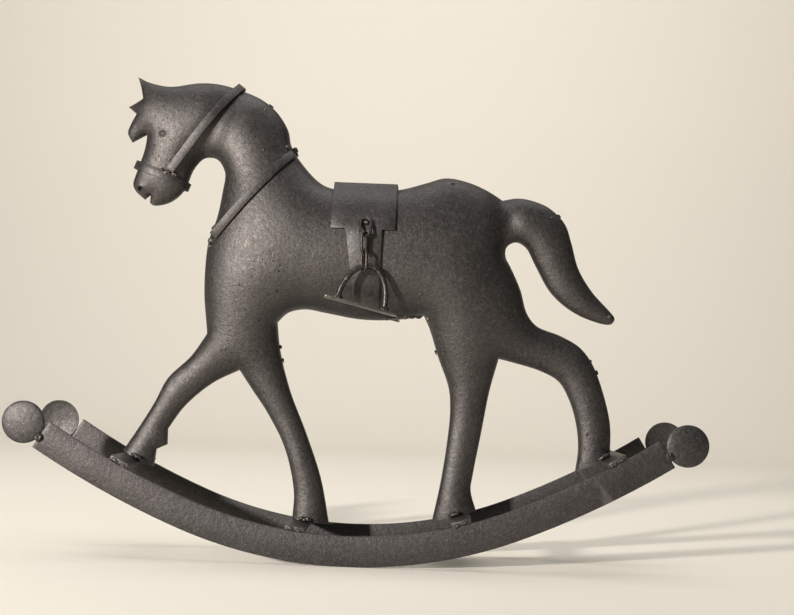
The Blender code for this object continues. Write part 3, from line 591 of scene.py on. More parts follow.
def taut_over(profile: list[tuple[float, float]]) -> list[Vector]:
    """Stretch a line over heights, as a strap pulled tight over a bulge.

    Args:
        profile: (distance, height) pairs sorted by distance.

    Returns:
        The corners of the taut line.
    """
    hull: list[tuple[float, float]] = []
    for spot in profile:
        while len(hull) > 1:
            (x1, y1), (x2, y2) = hull[-2:]
            if (x2 - x1) * (spot[1] - y1) - (y2 - y1) * (spot[0] - x1) < 0:
                break
            hull.pop()
        hull.append(spot)
    return [Vector(spot) for spot in hull]


def resampled(line: list[Vector], step: float, fewest: int = 2) -> list[Vector]:
    """Move a line's points to even steps along it, with both ends kept.

    Args:
        line: Points of the line.
        step: About how far apart the new points are.
        fewest: The least number of steps.

    Returns:
        The new points.
    """
    lengths = np.cumsum([0.0] + [(b - a).length for a, b in zip(line, line[1:])])
    marks = np.linspace(0.0, lengths[-1], max(fewest, round(lengths[-1] / step)) + 1)
    xs = np.interp(marks, lengths, [p.x for p in line])
    ys = np.interp(marks, lengths, [p.y for p in line])
    return [Vector(pair) for pair in zip(xs.tolist(), ys.tolist())]


def offset_line(line: list[Vector], distance: float) -> list[Vector]:
    """Move a line square to itself, to its left, with mitred bends.

    Args:
        line: Points of the line.
        distance: How far it moves.

    Returns:
        As many points as the line has.
    """
    moved = []
    for i, point in enumerate(line):
        before = point - line[i - 1] if i else line[1] - point
        after = line[i + 1] - point if i + 1 < len(line) else before
        sides = [Vector((-way.y, way.x)).normalized() for way in (before, after)]
        mitre = (sides[0] + sides[1]).normalized()
        moved.append(point + mitre * distance / max(mitre.dot(sides[1]), 0.6))
    return moved


# The pressed body


@dataclass
class HorseOutline:
    """The horse's cut outline, in millimetres, its Z from the trailing forefoot's sole."""

    runs: list[list[tuple[float, float]]] = field(default_factory=lambda: [
        [(-205.5, 389.5), (-195, 385), (-175.5, 382), (-150.5, 386), (-131, 385.5),
         (-109, 379.5), (-94.5, 373.5), (-81, 363), (-70.5, 347.5), (-67, 333.5), (-56, 317),
         (-38.5, 300.5), (-22, 295.5), (-1.5, 295), (31.5, 298), (53.5, 304.5), (72, 310),
         (93.5, 306.5), (111.5, 299), (123, 292)],  # ear, poll, crest, back and croup
        [(137, 294.5), (151, 292.5), (165.5, 286.5), (179.5, 273), (185.5, 257.5),
         (193, 233.5), (206, 213.5), (223, 196), (227, 190.5), (224, 185.5), (205, 188.5),
         (185, 198), (168.5, 212.5), (154.5, 235.5), (145.5, 251), (136.5, 255.5),
         (128.5, 251), (127.5, 242.5), (133, 232), (142, 213), (148.5, 192.5),
         (157.5, 181.5), (179, 173.5), (196.5, 164), (208.5, 149.5), (219.5, 123),
         (226.5, 95.5), (227.4, 69.3)],  # tail, rump and trailing hock
        [(197, 51.9)],
        [(199, 74), (196, 97), (188.5, 118.5), (179, 133), (162.5, 141.5), (140.5, 147.5),
         (125, 151)],
        [(118, 122.5), (112, 85), (106, 47.5), (104.5, 33), (109.7, 15)],
        [(71.1, 4.4)],
        [(77, 36.5), (81.5, 71.5), (83.5, 101.5), (81.5, 123), (71, 150.5), (62.5, 175),
         (57, 186.5)],
        [(29.5, 182), (0, 181.5), (-31, 186), (-49, 188.5), (-64, 185), (-73.5, 176)],
        [(-70, 151), (-60, 116), (-44, 78), (-29.5, 38.5), (-20.6, -2.1)],
        [(-53.4, 2.1)],
        [(-53, 26), (-62.5, 64), (-78.5, 94), (-95.5, 118), (-105.5, 132.3)],
        [(-129.5, 119.5), (-153.5, 98), (-167.5, 77.5)],
        [(-167.5, 63.5)],
        [(-177, 59)],
        [(-178.9, 43.2)],
        [(-206.1, 57.1)],
        [(-191.5, 80.5), (-180, 100.5), (-169, 122.5), (-149, 143), (-135.5, 163.5)],
        [(-139.5, 202), (-137.5, 244), (-130.5, 266.5), (-126.5, 290), (-125, 307),
         (-132.5, 319), (-143.5, 320), (-153, 310), (-161, 290.5), (-173, 279.5),
         (-188, 276), (-191, 278)],  # breast, throat and jaw
        [(-190.5, 285.5)],
        [(-196, 281)],
        [(-204, 288), (-206.5, 294), (-203, 306.5), (-197.5, 324), (-195.5, 337.5),
         (-196, 339)],  # muzzle
        [(-209, 331.5)],
        [(-213, 339.5), (-210.5, 347.5), (-205.5, 356.5)],
        [(-213, 362.5)],
        [(-200.5, 370)],
        [(-202.5, 380), (-205.5, 389.5)],
    ])
    soles: tuple[tuple[float, float], ...] = ((197, 51.9), (71.1, 4.4), (-53.4, 2.1),
                                              (-206.1, 57.1))
    step: float = 2.6 * MM
    scale: Vector = field(default_factory=lambda: Vector((MM, MM)))
    origin: Vector = field(default_factory=lambda: Vector((0.0, 0.0)))

    def __post_init__(self) -> None:
        """Place the outline in the frame's own box of the left half shell."""
        low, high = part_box("body_shell_left")
        points = np.array(self.sample()[0]) / MM
        ends = points.min(axis=0), points.max(axis=0)
        (left, bottom), (right, top) = ends
        self.scale = Vector(((high.x - low.x) / (right - left), (high.z - low.z) / (top - bottom)))
        self.origin = Vector((low.x - left * self.scale.x, low.z - bottom * self.scale.y))

    def place(self, x: float, z: float) -> Vector:
        """A spot given in the outline's millimetres, in the seam plane in metres."""
        return Vector((self.origin.x + x * self.scale.x, self.origin.y + z * self.scale.y))

    def sample(self) -> tuple[list[Vector], set[int]]:
        """Walk once round the outline.

        Returns:
            The points, and the indices of those between the two ends of a sole.
        """
        here = self.place(*self.runs[-1][-1])
        points: list[Vector] = []
        open_edge: set[int] = set()
        for run in self.runs:
            knots = [self.place(*spot) for spot in run]
            if (knots[0] - here).length > 1e-7:
                knots.insert(0, here)
            stretch = smooth_run(knots, self.step)
            if run[0] in self.soles:
                open_edge |= {len(points) + i for i in range(1, len(stretch) - 1)}
            points += stretch[:-1]
            here = stretch[-1]
        return points, open_edge


@dataclass
class HalfShells:
    """The two pressed halves of the horse, one the mirror image of the other."""

    outline: HorseOutline
    sheet: float = 1.2 * MM
    puff: float = 0.55  # bulge as a share of the half width
    grid: float = 4.0 * MM
    rows: tuple[float, ...] = (0.8 * MM, 2.2 * MM, 4.6 * MM)
    groove_width: float = 11.0 * MM
    grooves: tuple[tuple[tuple[float, float], tuple[float, float], float], ...] = (
        ((-146, 318), (-112, 380), 5.0),
        ((125, 292), (128, 248), 6.0),
    )
    eye: tuple[float, float] = (-178.5, 337.0)
    nostril: tuple[float, float] = (-198.7, 289.5)
    eye_rings: tuple[float, ...] = (0.0, 1.2, 2.4, 3.6, 5.0, 7.0)  # of finer mesh, in mm
    nostril_rings: tuple[float, ...] = (0.0, 0.8, 1.6, 2.4, 3.2)
    ring_points: int = 14
    eye_bump: float = 1.5 * MM
    nostril_depth: float = 3.2 * MM
    nostril_lip: float = 0.9 * MM
    dent: float = 0.45 * MM
    dent_size: float = 34.0 * MM
    ripple_size: float = 11.0 * MM
    tree: BVHTree | None = None

    def build(self) -> None:
        """Press both halves."""
        edge, open_edge = self.outline.sample()
        plan, triangles = self._triangulate(edge)
        held = np.zeros(len(plan), bool)
        held[:len(edge)] = True
        held[sorted(open_edge)] = False
        bulge = self.puff * np.sqrt(2 * blown_film(plan, triangles, held))
        rise = np.array([self._relief(Vector(spot)) for spot in plan.tolist()])
        fade = np.clip(bulge / (4 * MM), 0.0, 1.0)
        bulge = np.maximum(bulge + rise * fade, bulge * 0.3)
        faces = [tuple(face) for face in triangles.tolist()]
        flat = GAP / 2 + self.sheet
        skin = [Vector((x, -(flat + h), z)) for (x, z), h in zip(plan.tolist(), bulge.tolist())]
        self.tree = BVHTree.FromPolygons([tuple(p) for p in skin], faces)
        slope = self._steepness(skin, triangles)
        inside = []
        for point, steep in zip(skin, slope):
            depth = max(GAP / 2, -point.y - self.sheet * steep)
            inside.append(Vector((point.x, -depth, point.z)))
        points, solid = thick_sheet(skin, inside, faces)
        for side in Side:
            turned = [Vector((p.x, p.y * -side.value, p.z)) for p in points]
            node = f"body_shell_{side.word}"
            new_piece(f"pressed_half_{side.word}", turned, solid, Slot.SHELL, replaces=(node,))

    def height(self, x: float, z: float) -> float:
        """How far the skin stands from the seam plane at a spot, or 0 off the horse."""
        hit = self.tree.ray_cast(Vector((x, -1.0, z)), Vector((0.0, 1.0, 0.0)))[0]
        return -hit.y if hit else 0.0

    def _triangulate(self, edge: list[Vector]) -> tuple[np.ndarray, np.ndarray]:
        """Fill the outline with rows along its edge and an even grid.

        Args:
            edge: Points of the outline.

        Returns:
            The plan's points, the outline's first, and the triangles.
        """
        border = np.array(edge)
        area = sum(a.cross(b) for a, b in zip(edge, edge[1:] + edge[:1]))
        turn = 1.0 if area > 0 else -1.0
        inner: list[Vector] = []
        for inset in self.rows:
            row = []
            for i, point in enumerate(edge):
                way = edge[(i + 1) % len(edge)] - edge[i - 1]
                row.append(point + Vector((-way.y, way.x)).normalized() * turn * inset)
            nearest, inside = distance_to_edge(np.array(row), border)
            keep = inside & (nearest > inset * 0.93)
            inner += [spot for spot, kept in zip(row, keep) if kept]
        for centre, radii in ((self.eye, self.eye_rings), (self.nostril, self.nostril_rings)):
            middle = self.outline.place(*centre)
            for radius in radii:
                for i in range(self.ring_points if radius else 1):
                    angle = 2 * math.pi * i / self.ring_points
                    spoke = Vector((math.cos(angle), math.sin(angle)))
                    inner.append(middle + spoke * radius * MM)
        low, high = border.min(axis=0), border.max(axis=0)
        levels = np.arange(low[1], high[1], self.grid * math.sqrt(3) / 2)
        cloud = np.array([(x + (row % 2) * self.grid / 2, z) for row, z in enumerate(levels)
                          for x in np.arange(low[0], high[0], self.grid)])
        nearest, inside = distance_to_edge(cloud, border)
        keep = inside & (nearest > self.rows[-1] + self.grid * 0.4)
        for centre, radius in ((self.eye, 8.5), (self.nostril, 4.5)):
            middle = np.array(self.outline.place(*centre))
            keep &= np.linalg.norm(cloud - middle, axis=1) > radius * MM
        inner += [Vector(spot) for spot in cloud[keep].tolist()]
        nearest, inside = distance_to_edge(np.array(inner), border)
        inner = [spot for spot, good in zip(inner, inside & (nearest > 0.4 * MM)) if good]
        plan = edge + inner
        count = len(edge)
        ring = [(i, (i + 1) % count) for i in range(count)]
        made = delaunay_2d_cdt(plan, ring, [list(range(count))], 1, 1e-7)
        order = [source[0] for source in made[3]]
        return np.array(plan), np.array([[order[i] for i in face] for face in made[2]])

    def _relief(self, spot: Vector) -> float:
        """Height that the press, the punch and knocks add to the plain bulge.

        Args:
            spot: A point in the seam plane.

        Returns:
            Metres to add, negative in a hollow.
        """
        rise = 0.0
        for start, end, deep in self.grooves:
            a, b = self.outline.place(*start), self.outline.place(*end)
            share = max(0.0, min(1.0, (spot - a).dot(b - a) / (b - a).length_squared))
            away = (spot - a - (b - a) * share).length
            rise -= deep * MM * math.exp(-((away / self.groove_width) ** 2))
        away = (spot - self.outline.place(*self.eye)).length / MM
        bump, hollow = (math.exp(-((away / breadth) ** 2)) for breadth in (2.4, 8.0))
        rise += self.eye_bump * (bump - 0.2 * hollow)
        away = (spot - self.outline.place(*self.nostril)).length / MM
        rise += self.nostril_lip * math.exp(-(((away - 2.6) / 0.9) ** 2))
        rise -= self.nostril_depth * math.exp(-((away / 1.7) ** 4))
        deep = noise.noise(Vector((spot.x, 0.0, spot.y)) / self.dent_size)
        small = noise.noise(Vector((spot.x, 7.0, spot.y)) / self.ripple_size)
        return rise + self.dent * (deep + 0.3 * small)

    def _steepness(self, skin: list[Vector], triangles: np.ndarray) -> list[float]:
        """How much longer a straight line through the sheet is than the sheet is thick.

        Args:
            skin: Points of the outer face.
            triangles: Its triangles.

        Returns:
            One ratio for each point, from 1 to 2.5.
        """
        places = np.array(skin)
        corners = places[triangles]
        facing = np.cross(corners[:, 1] - corners[:, 0], corners[:, 2] - corners[:, 0])
        facing *= np.where(facing[:, 1:2] > 0, -1.0, 1.0)
        normals = np.zeros_like(places)
        for k in range(3):
            np.add.at(normals, triangles[:, k], facing)
        share = -normals[:, 1] / np.linalg.norm(normals, axis=1)
        return np.clip(1 / np.maximum(share, 0.1), 1.0, 2.5).tolist()


# Straps and the saddle


@dataclass
class StrapCut:
    """One flat strip bent over the horse, by its two ends in the outline's millimetres."""

    start: tuple[float, float]
    end: tuple[float, float]
    width: float
    thickness: float = 1.5 * MM
    clearance: float = 0.8 * MM
    step: float = 4.0 * MM
    edge: float = 0.35 * MM
    samples: int = 90

    def taut_line(self, shells: HalfShells) -> list[Vector]:
        """Lay the strip's inner face tight over the skin.

        Args:
            shells: The pressed halves it lies on.

        Returns:
            (distance along the strip, height from the seam plane) points.
        """
        start, end = (shells.outline.place(*spot) for spot in (self.start, self.end))
        span = end - start
        across = Vector((-span.y, span.x)).normalized() * self.width
        profile = []
        for i in range(self.samples + 1):
            middle = start + span * i / self.samples
            spots = [middle + across * share for share in (-0.5, -0.25, 0.0, 0.25, 0.5)]
            height = max(shells.height(spot.x, spot.y) for spot in spots)
            profile.append((span.length * i / self.samples, height + self.clearance))
        return resampled(taut_over(profile), self.step)

    def layers(
        self, shells: HalfShells, inner: list[Vector], outer: list[Vector], side: int
    ) -> tuple[list[Vector], list[Vector]]:
        """Widen the strip's inner and outer lines into two layers of points.

        Args:
            shells: The pressed halves it lies on.
            inner: Line of the inner face.
            outer: Line of the outer face.
            side: Sign of Y.

        Returns:
            The outer and the inner layer, three points across.
        """
        start, end = (shells.outline.place(*spot) for spot in (self.start, self.end))
        along = (end - start).normalized()
        across = Vector((-along.y, 0.0, along.x)) * self.width / 2
        made = []
        for line in (outer, inner):
            layer = []
            for point in line:
                middle = Vector((start.x + along.x * point.x, side * point.y,
                                 start.y + along.y * point.x))
                wander = 1 + 0.05 * noise.noise(middle / 0.012)
                layer += [middle + across * share * wander for share in (-1, 0, 1)]
            made.append(layer)
        return made[0], made[1]


def strip_faces(rows: int, closed: bool = False) -> list[Face]:
    """Quads between rows of three points, closed into a hoop if asked."""
    faces = []
    for i in range(rows if closed else rows - 1):
        low, high = 3 * i, 3 * ((i + 1) % rows)
        faces += [(low + k, low + k + 1, high + k + 1, high + k) for k in range(2)]
    return faces


@dataclass
class Bridle:
    """Noseband, cheek straps and neck straps."""

    shells: HalfShells
    cheek: StrapCut = field(default_factory=lambda: StrapCut(
        (-113.0, 384.5), (-171.5, 305.2), 7.5 * MM))
    neck: StrapCut = field(default_factory=lambda: StrapCut(
        (-63.5, 324.5), (-130.5, 249.0), 7.5 * MM))
    nose: StrapCut = field(default_factory=lambda: StrapCut(
        (-201.8, 310.6), (-160.0, 294.2), 7.5 * MM))
    lug: float = 2.2 * MM  # how far the noseband stands past the muzzle

    def build(self) -> None:
        """Bend and fit every strap."""
        for side in Side:
            for name, cut in (("cheek_strap", self.cheek), ("neck_strap", self.neck)):
                inner = cut.taut_line(self.shells)
                outer = offset_line(inner, cut.thickness)
                layers = cut.layers(self.shells, inner, outer, side.value)
                points, faces = thick_sheet(*layers, strip_faces(len(inner)))
                node = f"{name}_{side.word}"
                new_piece(f"bent_{node}", points, faces, Slot.STRIP, replaces=(node,),
                          bevel=cut.edge)
        self._build_noseband()

    def _build_noseband(self) -> None:
        """Close one hoop round the muzzle, taut over both cheeks."""
        cut = self.nose
        start, end = (self.shells.outline.place(*spot) for spot in (cut.start, cut.end))
        length = (end - start).length
        low = cut.clearance + self.shells.sheet
        half = [Vector((-self.lug, low)), *cut.taut_line(self.shells)[1:-1],
                Vector((length + self.lug, low))]
        half = resampled(taut_over([tuple(p) for p in half]), cut.step)
        outer = offset_line(half, cut.thickness)
        outer[0] = Vector((half[0].x - cut.thickness, half[0].y))
        outer[-1] = Vector((half[-1].x + cut.thickness, half[-1].y))
        hoops = [line + [Vector((p.x, -p.y)) for p in reversed(line)] for line in (half, outer)]
        layers = cut.layers(self.shells, *hoops, Side.LEFT.value)
        points, faces = thick_sheet(*layers, strip_faces(len(hoops[0]), closed=True))
        new_piece("bent_noseband", points, faces, Slot.STRIP, replaces=("noseband",),
                  bevel=cut.edge)


@dataclass
class SaddlePlate:
    """A T-shaped plate folded over the back: wide flaps that step in to a girth strip."""

    shells: HalfShells
    thickness: float = 1.5 * MM
    clearance: float = 0.8 * MM
    edge: float = 0.3 * MM
    step: float = 3.0 * MM
    shoulder: float = 257.5  # height of the step, in the outline's millimetres
    girth_front: tuple[float, float] = (-13.5, -4.0)  # at the step and at the hem
    girth_rear: tuple[float, float] = (18.3, 17.5)
    fold_flat: float = 4.0 * MM  # half width of the flat along the fold
    fold_half_width: float = 10.0 * MM
    fold_drop: float = 0.5 * MM  # from the flat to the fold's half width
    samples: int = 90

    def build(self) -> None:
        """Fold the plate over the back."""
        low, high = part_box("saddle_plate")
        shoulder = self.shells.outline.place(0.0, self.shoulder).y
        half = self._section(low, high, shoulder)
        inner = half + [Vector((-p.x, p.y)) for p in reversed(half)]
        outer = offset_line(inner, self.thickness)
        layers: list[list[Vector]] = [[], []]
        for first, second in zip(inner, outer):
            share = max(0.0, (shoulder - first.y) / (shoulder - low.z))
            narrow = [self.shells.outline.place(a + (b - a) * share, 0.0).x
                      for a, b in (self.girth_front, self.girth_rear)]
            stations = [low.x, *narrow, high.x]
            for layer, point in zip(layers, (second, first)):
                layer += [Vector((x, point.x, point.y)) for x in stations]
        faces = []
        for row in range(len(inner) - 1):
            wide = min(inner[row].y, inner[row + 1].y) >= shoulder - 1e-6
            a, b = 4 * row, 4 * row + 4
            faces += [(a + k, a + k + 1, b + k + 1, b + k) for k in (range(3) if wide else (1,))]
        points, solid = thick_sheet(*layers, faces)
        new_piece("folded_saddle_plate", points, solid, Slot.STRIP, replaces=("saddle_plate",),
                  bevel=self.edge)

    def _section(self, low: Vector, high: Vector, shoulder: float) -> list[Vector]:
        """Run the plate's inner face from the left hem up to the middle of the fold.

        Args:
            low: Lowest corner of the plate's box.
            high: Highest corner of the plate's box.
            shoulder: Height of the step.

        Returns:
            (y, z) points, one of them at the step's height.
        """
        crown = high.z - self.thickness
        profile = []
        for z in np.linspace(low.z, crown, self.samples)[:-1].tolist():
            xs = np.linspace(low.x, high.x, 9).tolist()
            height = max(self.shells.height(x, z) for x in xs)
            profile.append((z, height + self.clearance))
        profile += [(crown - self.fold_drop, self.fold_half_width), (crown, self.fold_flat)]
        taut = taut_over(profile)
        zs = [p.x for p in taut]
        ys = [p.y for p in taut]
        lower = [Vector((float(np.interp(z, zs, ys)), z))
                 for z in np.linspace(low.z, shoulder, 12).tolist()]
        upper = [Vector((float(np.interp(shoulder, zs, ys)), shoulder))]
        upper += [Vector((p.y, p.x)) for p in taut if p.x > shoulder + 1 * MM]
        upper = resampled(upper, self.step)
        return [Vector((-p.x, p.y)) for p in lower + upper[1:]]


# Rockers and what stands on them


@dataclass
class Rockers:
    """Two flat strips bent on edge, each with a domed disc welded to both ends."""

    radius: float = 394.5 * MM  # of the rolling edge in the middle
    end_radius: float = 776.6 * MM
    middle: float = 152.5 * MM  # from the lowest point to where the flatter bend starts
    height: float = 26.0 * MM
    lengths: dict[End, float] = field(default_factory=lambda: {
        End.FRONT: 290.0 * MM, End.REAR: 296.0 * MM})
    disc_dome: float = 2.2 * MM
    disc_thickness: float = 2.0 * MM
    disc_rings: int = 12
    disc_segments: int = 64
    disc_edge: float = 0.4 * MM
    rim_starts: float = 0.9  # where the rolled rim starts, as a share of the radius
    rim_roll: float = 0.35 * MM
    knock_depth: float = 0.14 * MM  # of the planishing marks
    knock_size: float = 6.0 * MM
    step: float = 3.2 * MM
    edge: float = 0.45 * MM

    def build(self) -> None:
        """Bend both strips and fit their discs."""
        for side in Side:
            self._build_strip(side)
            for end in End:
                self._build_disc(end, side)

    def _spot(self, length: float, inset: float) -> Vector:
        """A spot of the strip in the XZ plane, from the rockers' lowest point.

        Args:
            length: Distance along the rolling edge, negative towards the front.
            inset: Distance inside the rolling edge.

        Returns:
            Its x and z in metres.
        """
        near = min(abs(length), self.middle)
        turn = near / self.radius
        angle = turn + (abs(length) - near) / self.end_radius
        middle, end = self.radius - inset, self.end_radius - inset
        across = middle * math.sin(turn) + end * (math.sin(angle) - math.sin(turn))
        down = middle * math.cos(turn) + end * (math.cos(angle) - math.cos(turn))
        return Vector((math.copysign(across, length), self.radius - down))

    def _build_strip(self, side: Side) -> None:
        """One rocker strip with its long edges rounded."""
        node = f"rocker_{side.word}"
        low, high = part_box(node)
        front, rear = -self.lengths[End.FRONT], self.lengths[End.REAR]
        shift = low.x - self._spot(front, 0.0).x
        rows = round((rear - front) / self.step)
        layers: list[list[Vector]] = [[], []]
        for length in np.linspace(front, rear, rows + 1).tolist():
            spots = [self._spot(length, self.height * share) for share in (0.0, 0.5, 1.0)]
            for layer, y in zip(layers, (high.y, low.y)):
                layer += [Vector((spot.x + shift, y, spot.y)) for spot in spots]
        points, faces = thick_sheet(*layers, strip_faces(rows + 1))
        new_piece(f"bent_{node}", points, faces, Slot.STRIP, replaces=(node,), bevel=self.edge)

    def _build_disc(self, end: End, side: Side) -> None:
        """One disc: a shallow pressed dome with a rolled rim and planishing marks."""
        node = f"end_disc_{end.word}_{side.word}"
        low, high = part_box(node)
        centre = (low + high) / 2
        radius = (high.z - low.z) / 2
        shift = -self.disc_dome / 2
        segments, rings = self.disc_segments, self.disc_rings
        layers: list[list[Vector]] = [[], []]
        for k in range(rings + 1):
            share = k / rings
            dome = self.disc_dome * (1 - share**2)
            if share > self.rim_starts:
                dome -= self.rim_roll * (share - self.rim_starts) / (1 - self.rim_starts)
            for i in range(segments):
                angle = 2 * math.pi * i / segments
                spot = Vector((share * radius * math.cos(angle), 0.0,
                               share * radius * math.sin(angle)))
                knock = self.knock_depth * noise.noise((centre + spot) / self.knock_size)
                for layer, lift in zip(layers, (1.0, -1.0)):
                    height = shift + dome + knock + lift * self.disc_thickness / 2
                    layer.append(centre + spot + Vector((0.0, side.value * height, 0.0)))
        faces = []
        for k in range(1, rings):
            a, b = k * segments, (k + 1) * segments
            faces += [(a + i, a + (i + 1) % segments, b + (i + 1) % segments, b + i)
                      for i in range(segments)]
        middle = [tuple(range(segments, 2 * segments))]
        points, solid = thick_sheet(*layers, faces + middle)
        new_piece(f"domed_{node}", points, solid, Slot.STRIP, replaces=(node,),
                  bevel=self.disc_edge)


@dataclass
class CrossSlats:
    """Short flat bars across the rockers' top edges, tacked down at both ends."""

    names: tuple[str, ...] = ("lead_forefoot", "trailing_forefoot", "lead_hindfoot",
                              "trailing_hindfoot")
    edge: float = 0.5 * MM
    rows: int = 13
    sag: float = 0.25 * MM

    def build(self) -> None:
        """Cut every slat; their tacks are laid with the welds."""
        for name in self.names:
            self._build_slat(name)

    def _build_slat(self, name: str) -> None:
        """One slat with its edges rounded, from the frame's own corners."""
        node = f"cross_slat_{name}"
        corners = distinct_points(node)
        section = [p for p in corners if p.y < 0]
        middle = sum(section, Vector()) / len(section)
        section.sort(key=lambda p: math.atan2(p.z - middle.z, p.x - middle.x))
        reach = -section[0].y
        rows = self.rows
        points: list[Vector] = []
        for i in range(rows):
            y = reach * (2 * i / (rows - 1) - 1)
            sag = self.sag * noise.noise(Vector((middle.x, y, 0.0)) / 0.03)
            points += [Vector((p.x, y, p.z + sag)) for p in section]
        size = len(section)
        faces: list[Face] = [tuple(range(size)), tuple(range((rows - 1) * size, rows * size))]
        for i in range(rows - 1):
            for k in range(size):
                m = (k + 1) % size
                faces.append((i * size + k, i * size + m, (i + 1) * size + m, (i + 1) * size + k))
        new_piece(f"flat_{node}", points, faces, Slot.STRIP, replaces=(node,), bevel=self.edge)


def distinct_points(node: str) -> list[Vector]:
    """The different points of a frame node's mesh."""
    found = {tuple(round(value, 6) for value in vertex.co): vertex.co.copy()
             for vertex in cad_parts[node].data.vertices}
    return [found[key] for key in sorted(found)]


# Round bar, links and weld metal, refined from the frame's own nodes


@dataclass(frozen=True)
class Refinement:
    """How a frame node's coarse mesh becomes a finished one."""

    slot: Slot
    levels: int = 2
    swell: float = 0.0
    lump: float = 0.0
    lump_size: float = 3.0 * MM


BAR = Refinement(Slot.FITTING, swell=0.32 * MM, lump=0.22 * MM, lump_size=5.0 * MM)
WIRE = Refinement(Slot.FITTING, swell=0.12 * MM, lump=0.16 * MM, lump_size=3.0 * MM)
BEAD = Refinement(Slot.WELD, levels=3, swell=0.25 * MM, lump=0.75 * MM, lump_size=2.2 * MM)
SPATTER = Refinement(Slot.WELD, lump=0.5 * MM, lump_size=1.8 * MM)


def refine(node: str, name: str, body: str, how: Refinement) -> bpy.types.Object:
    """Turn a frame node into a finer piece that stands for it.

    Args:
        node: The frame's node.
        name: Name of the new piece.
        body: The body that the node rides on.
        how: Subdivision, swelling and lumps.

    Returns:
        The piece.
    """
    shape = node_shape(node)
    bmesh.ops.join_triangles(
        shape, faces=shape.faces, angle_face_threshold=math.radians(25),
        angle_shape_threshold=math.radians(60))
    points, faces = taken_apart(shape)
    made = new_piece(name, points, faces, how.slot, body, (node,), soften=how.levels)
    roughen(made, how.lump, how.lump_size, how.swell)
    return made


@dataclass
class ChainsAndStirrups:
    """Three links and a stirrup on each side."""

    links: int = 3
    tread_edge: float = 0.4 * MM

    def build(self) -> None:
        """Finish the links, the bows and the treads."""
        for side in Side:
            for number in range(1, self.links + 1):
                node = f"chain_link_{number}_{side.word}"
                body = "root" if number == 1 else f"link_{number}_{side.word}"
                refine(node, f"forged_{node}", body, WIRE)
            body = f"stirrup_{side.word}"
            refine(f"stirrup_arch_{side.word}", f"bent_stirrup_bow_{side.word}", body, BAR)
            for end in End:
                node = f"stirrup_weld_{end.word}_{side.word}"
                refine(node, f"rough_{node}", body, BEAD)
            self._build_tread(side, body)

    def _build_tread(self, side: Side, body: str) -> None:
        """The flat tread plate with rounded edges."""
        node = f"stirrup_tread_{side.word}"
        shape = node_shape(node)
        bmesh.ops.dissolve_limit(shape, angle_limit=math.radians(2), verts=shape.verts,
                                 edges=shape.edges)
        points, faces = taken_apart(shape)
        new_piece(f"cut_{node}", points, faces, Slot.FITTING, body, (node,),
                  bevel=self.tread_edge)


@dataclass(frozen=True)
class Lump:
    """A drop of weld metal on the skin, by its place and sizes in the outline's millimetres."""

    at: tuple[float, float]
    length: float = 1.5
    width: float = 1.3
    height: float = 0.9
    turn: float = 0.0  # degrees of its length from +X
    lift: float = 0.0  # of its middle over the skin


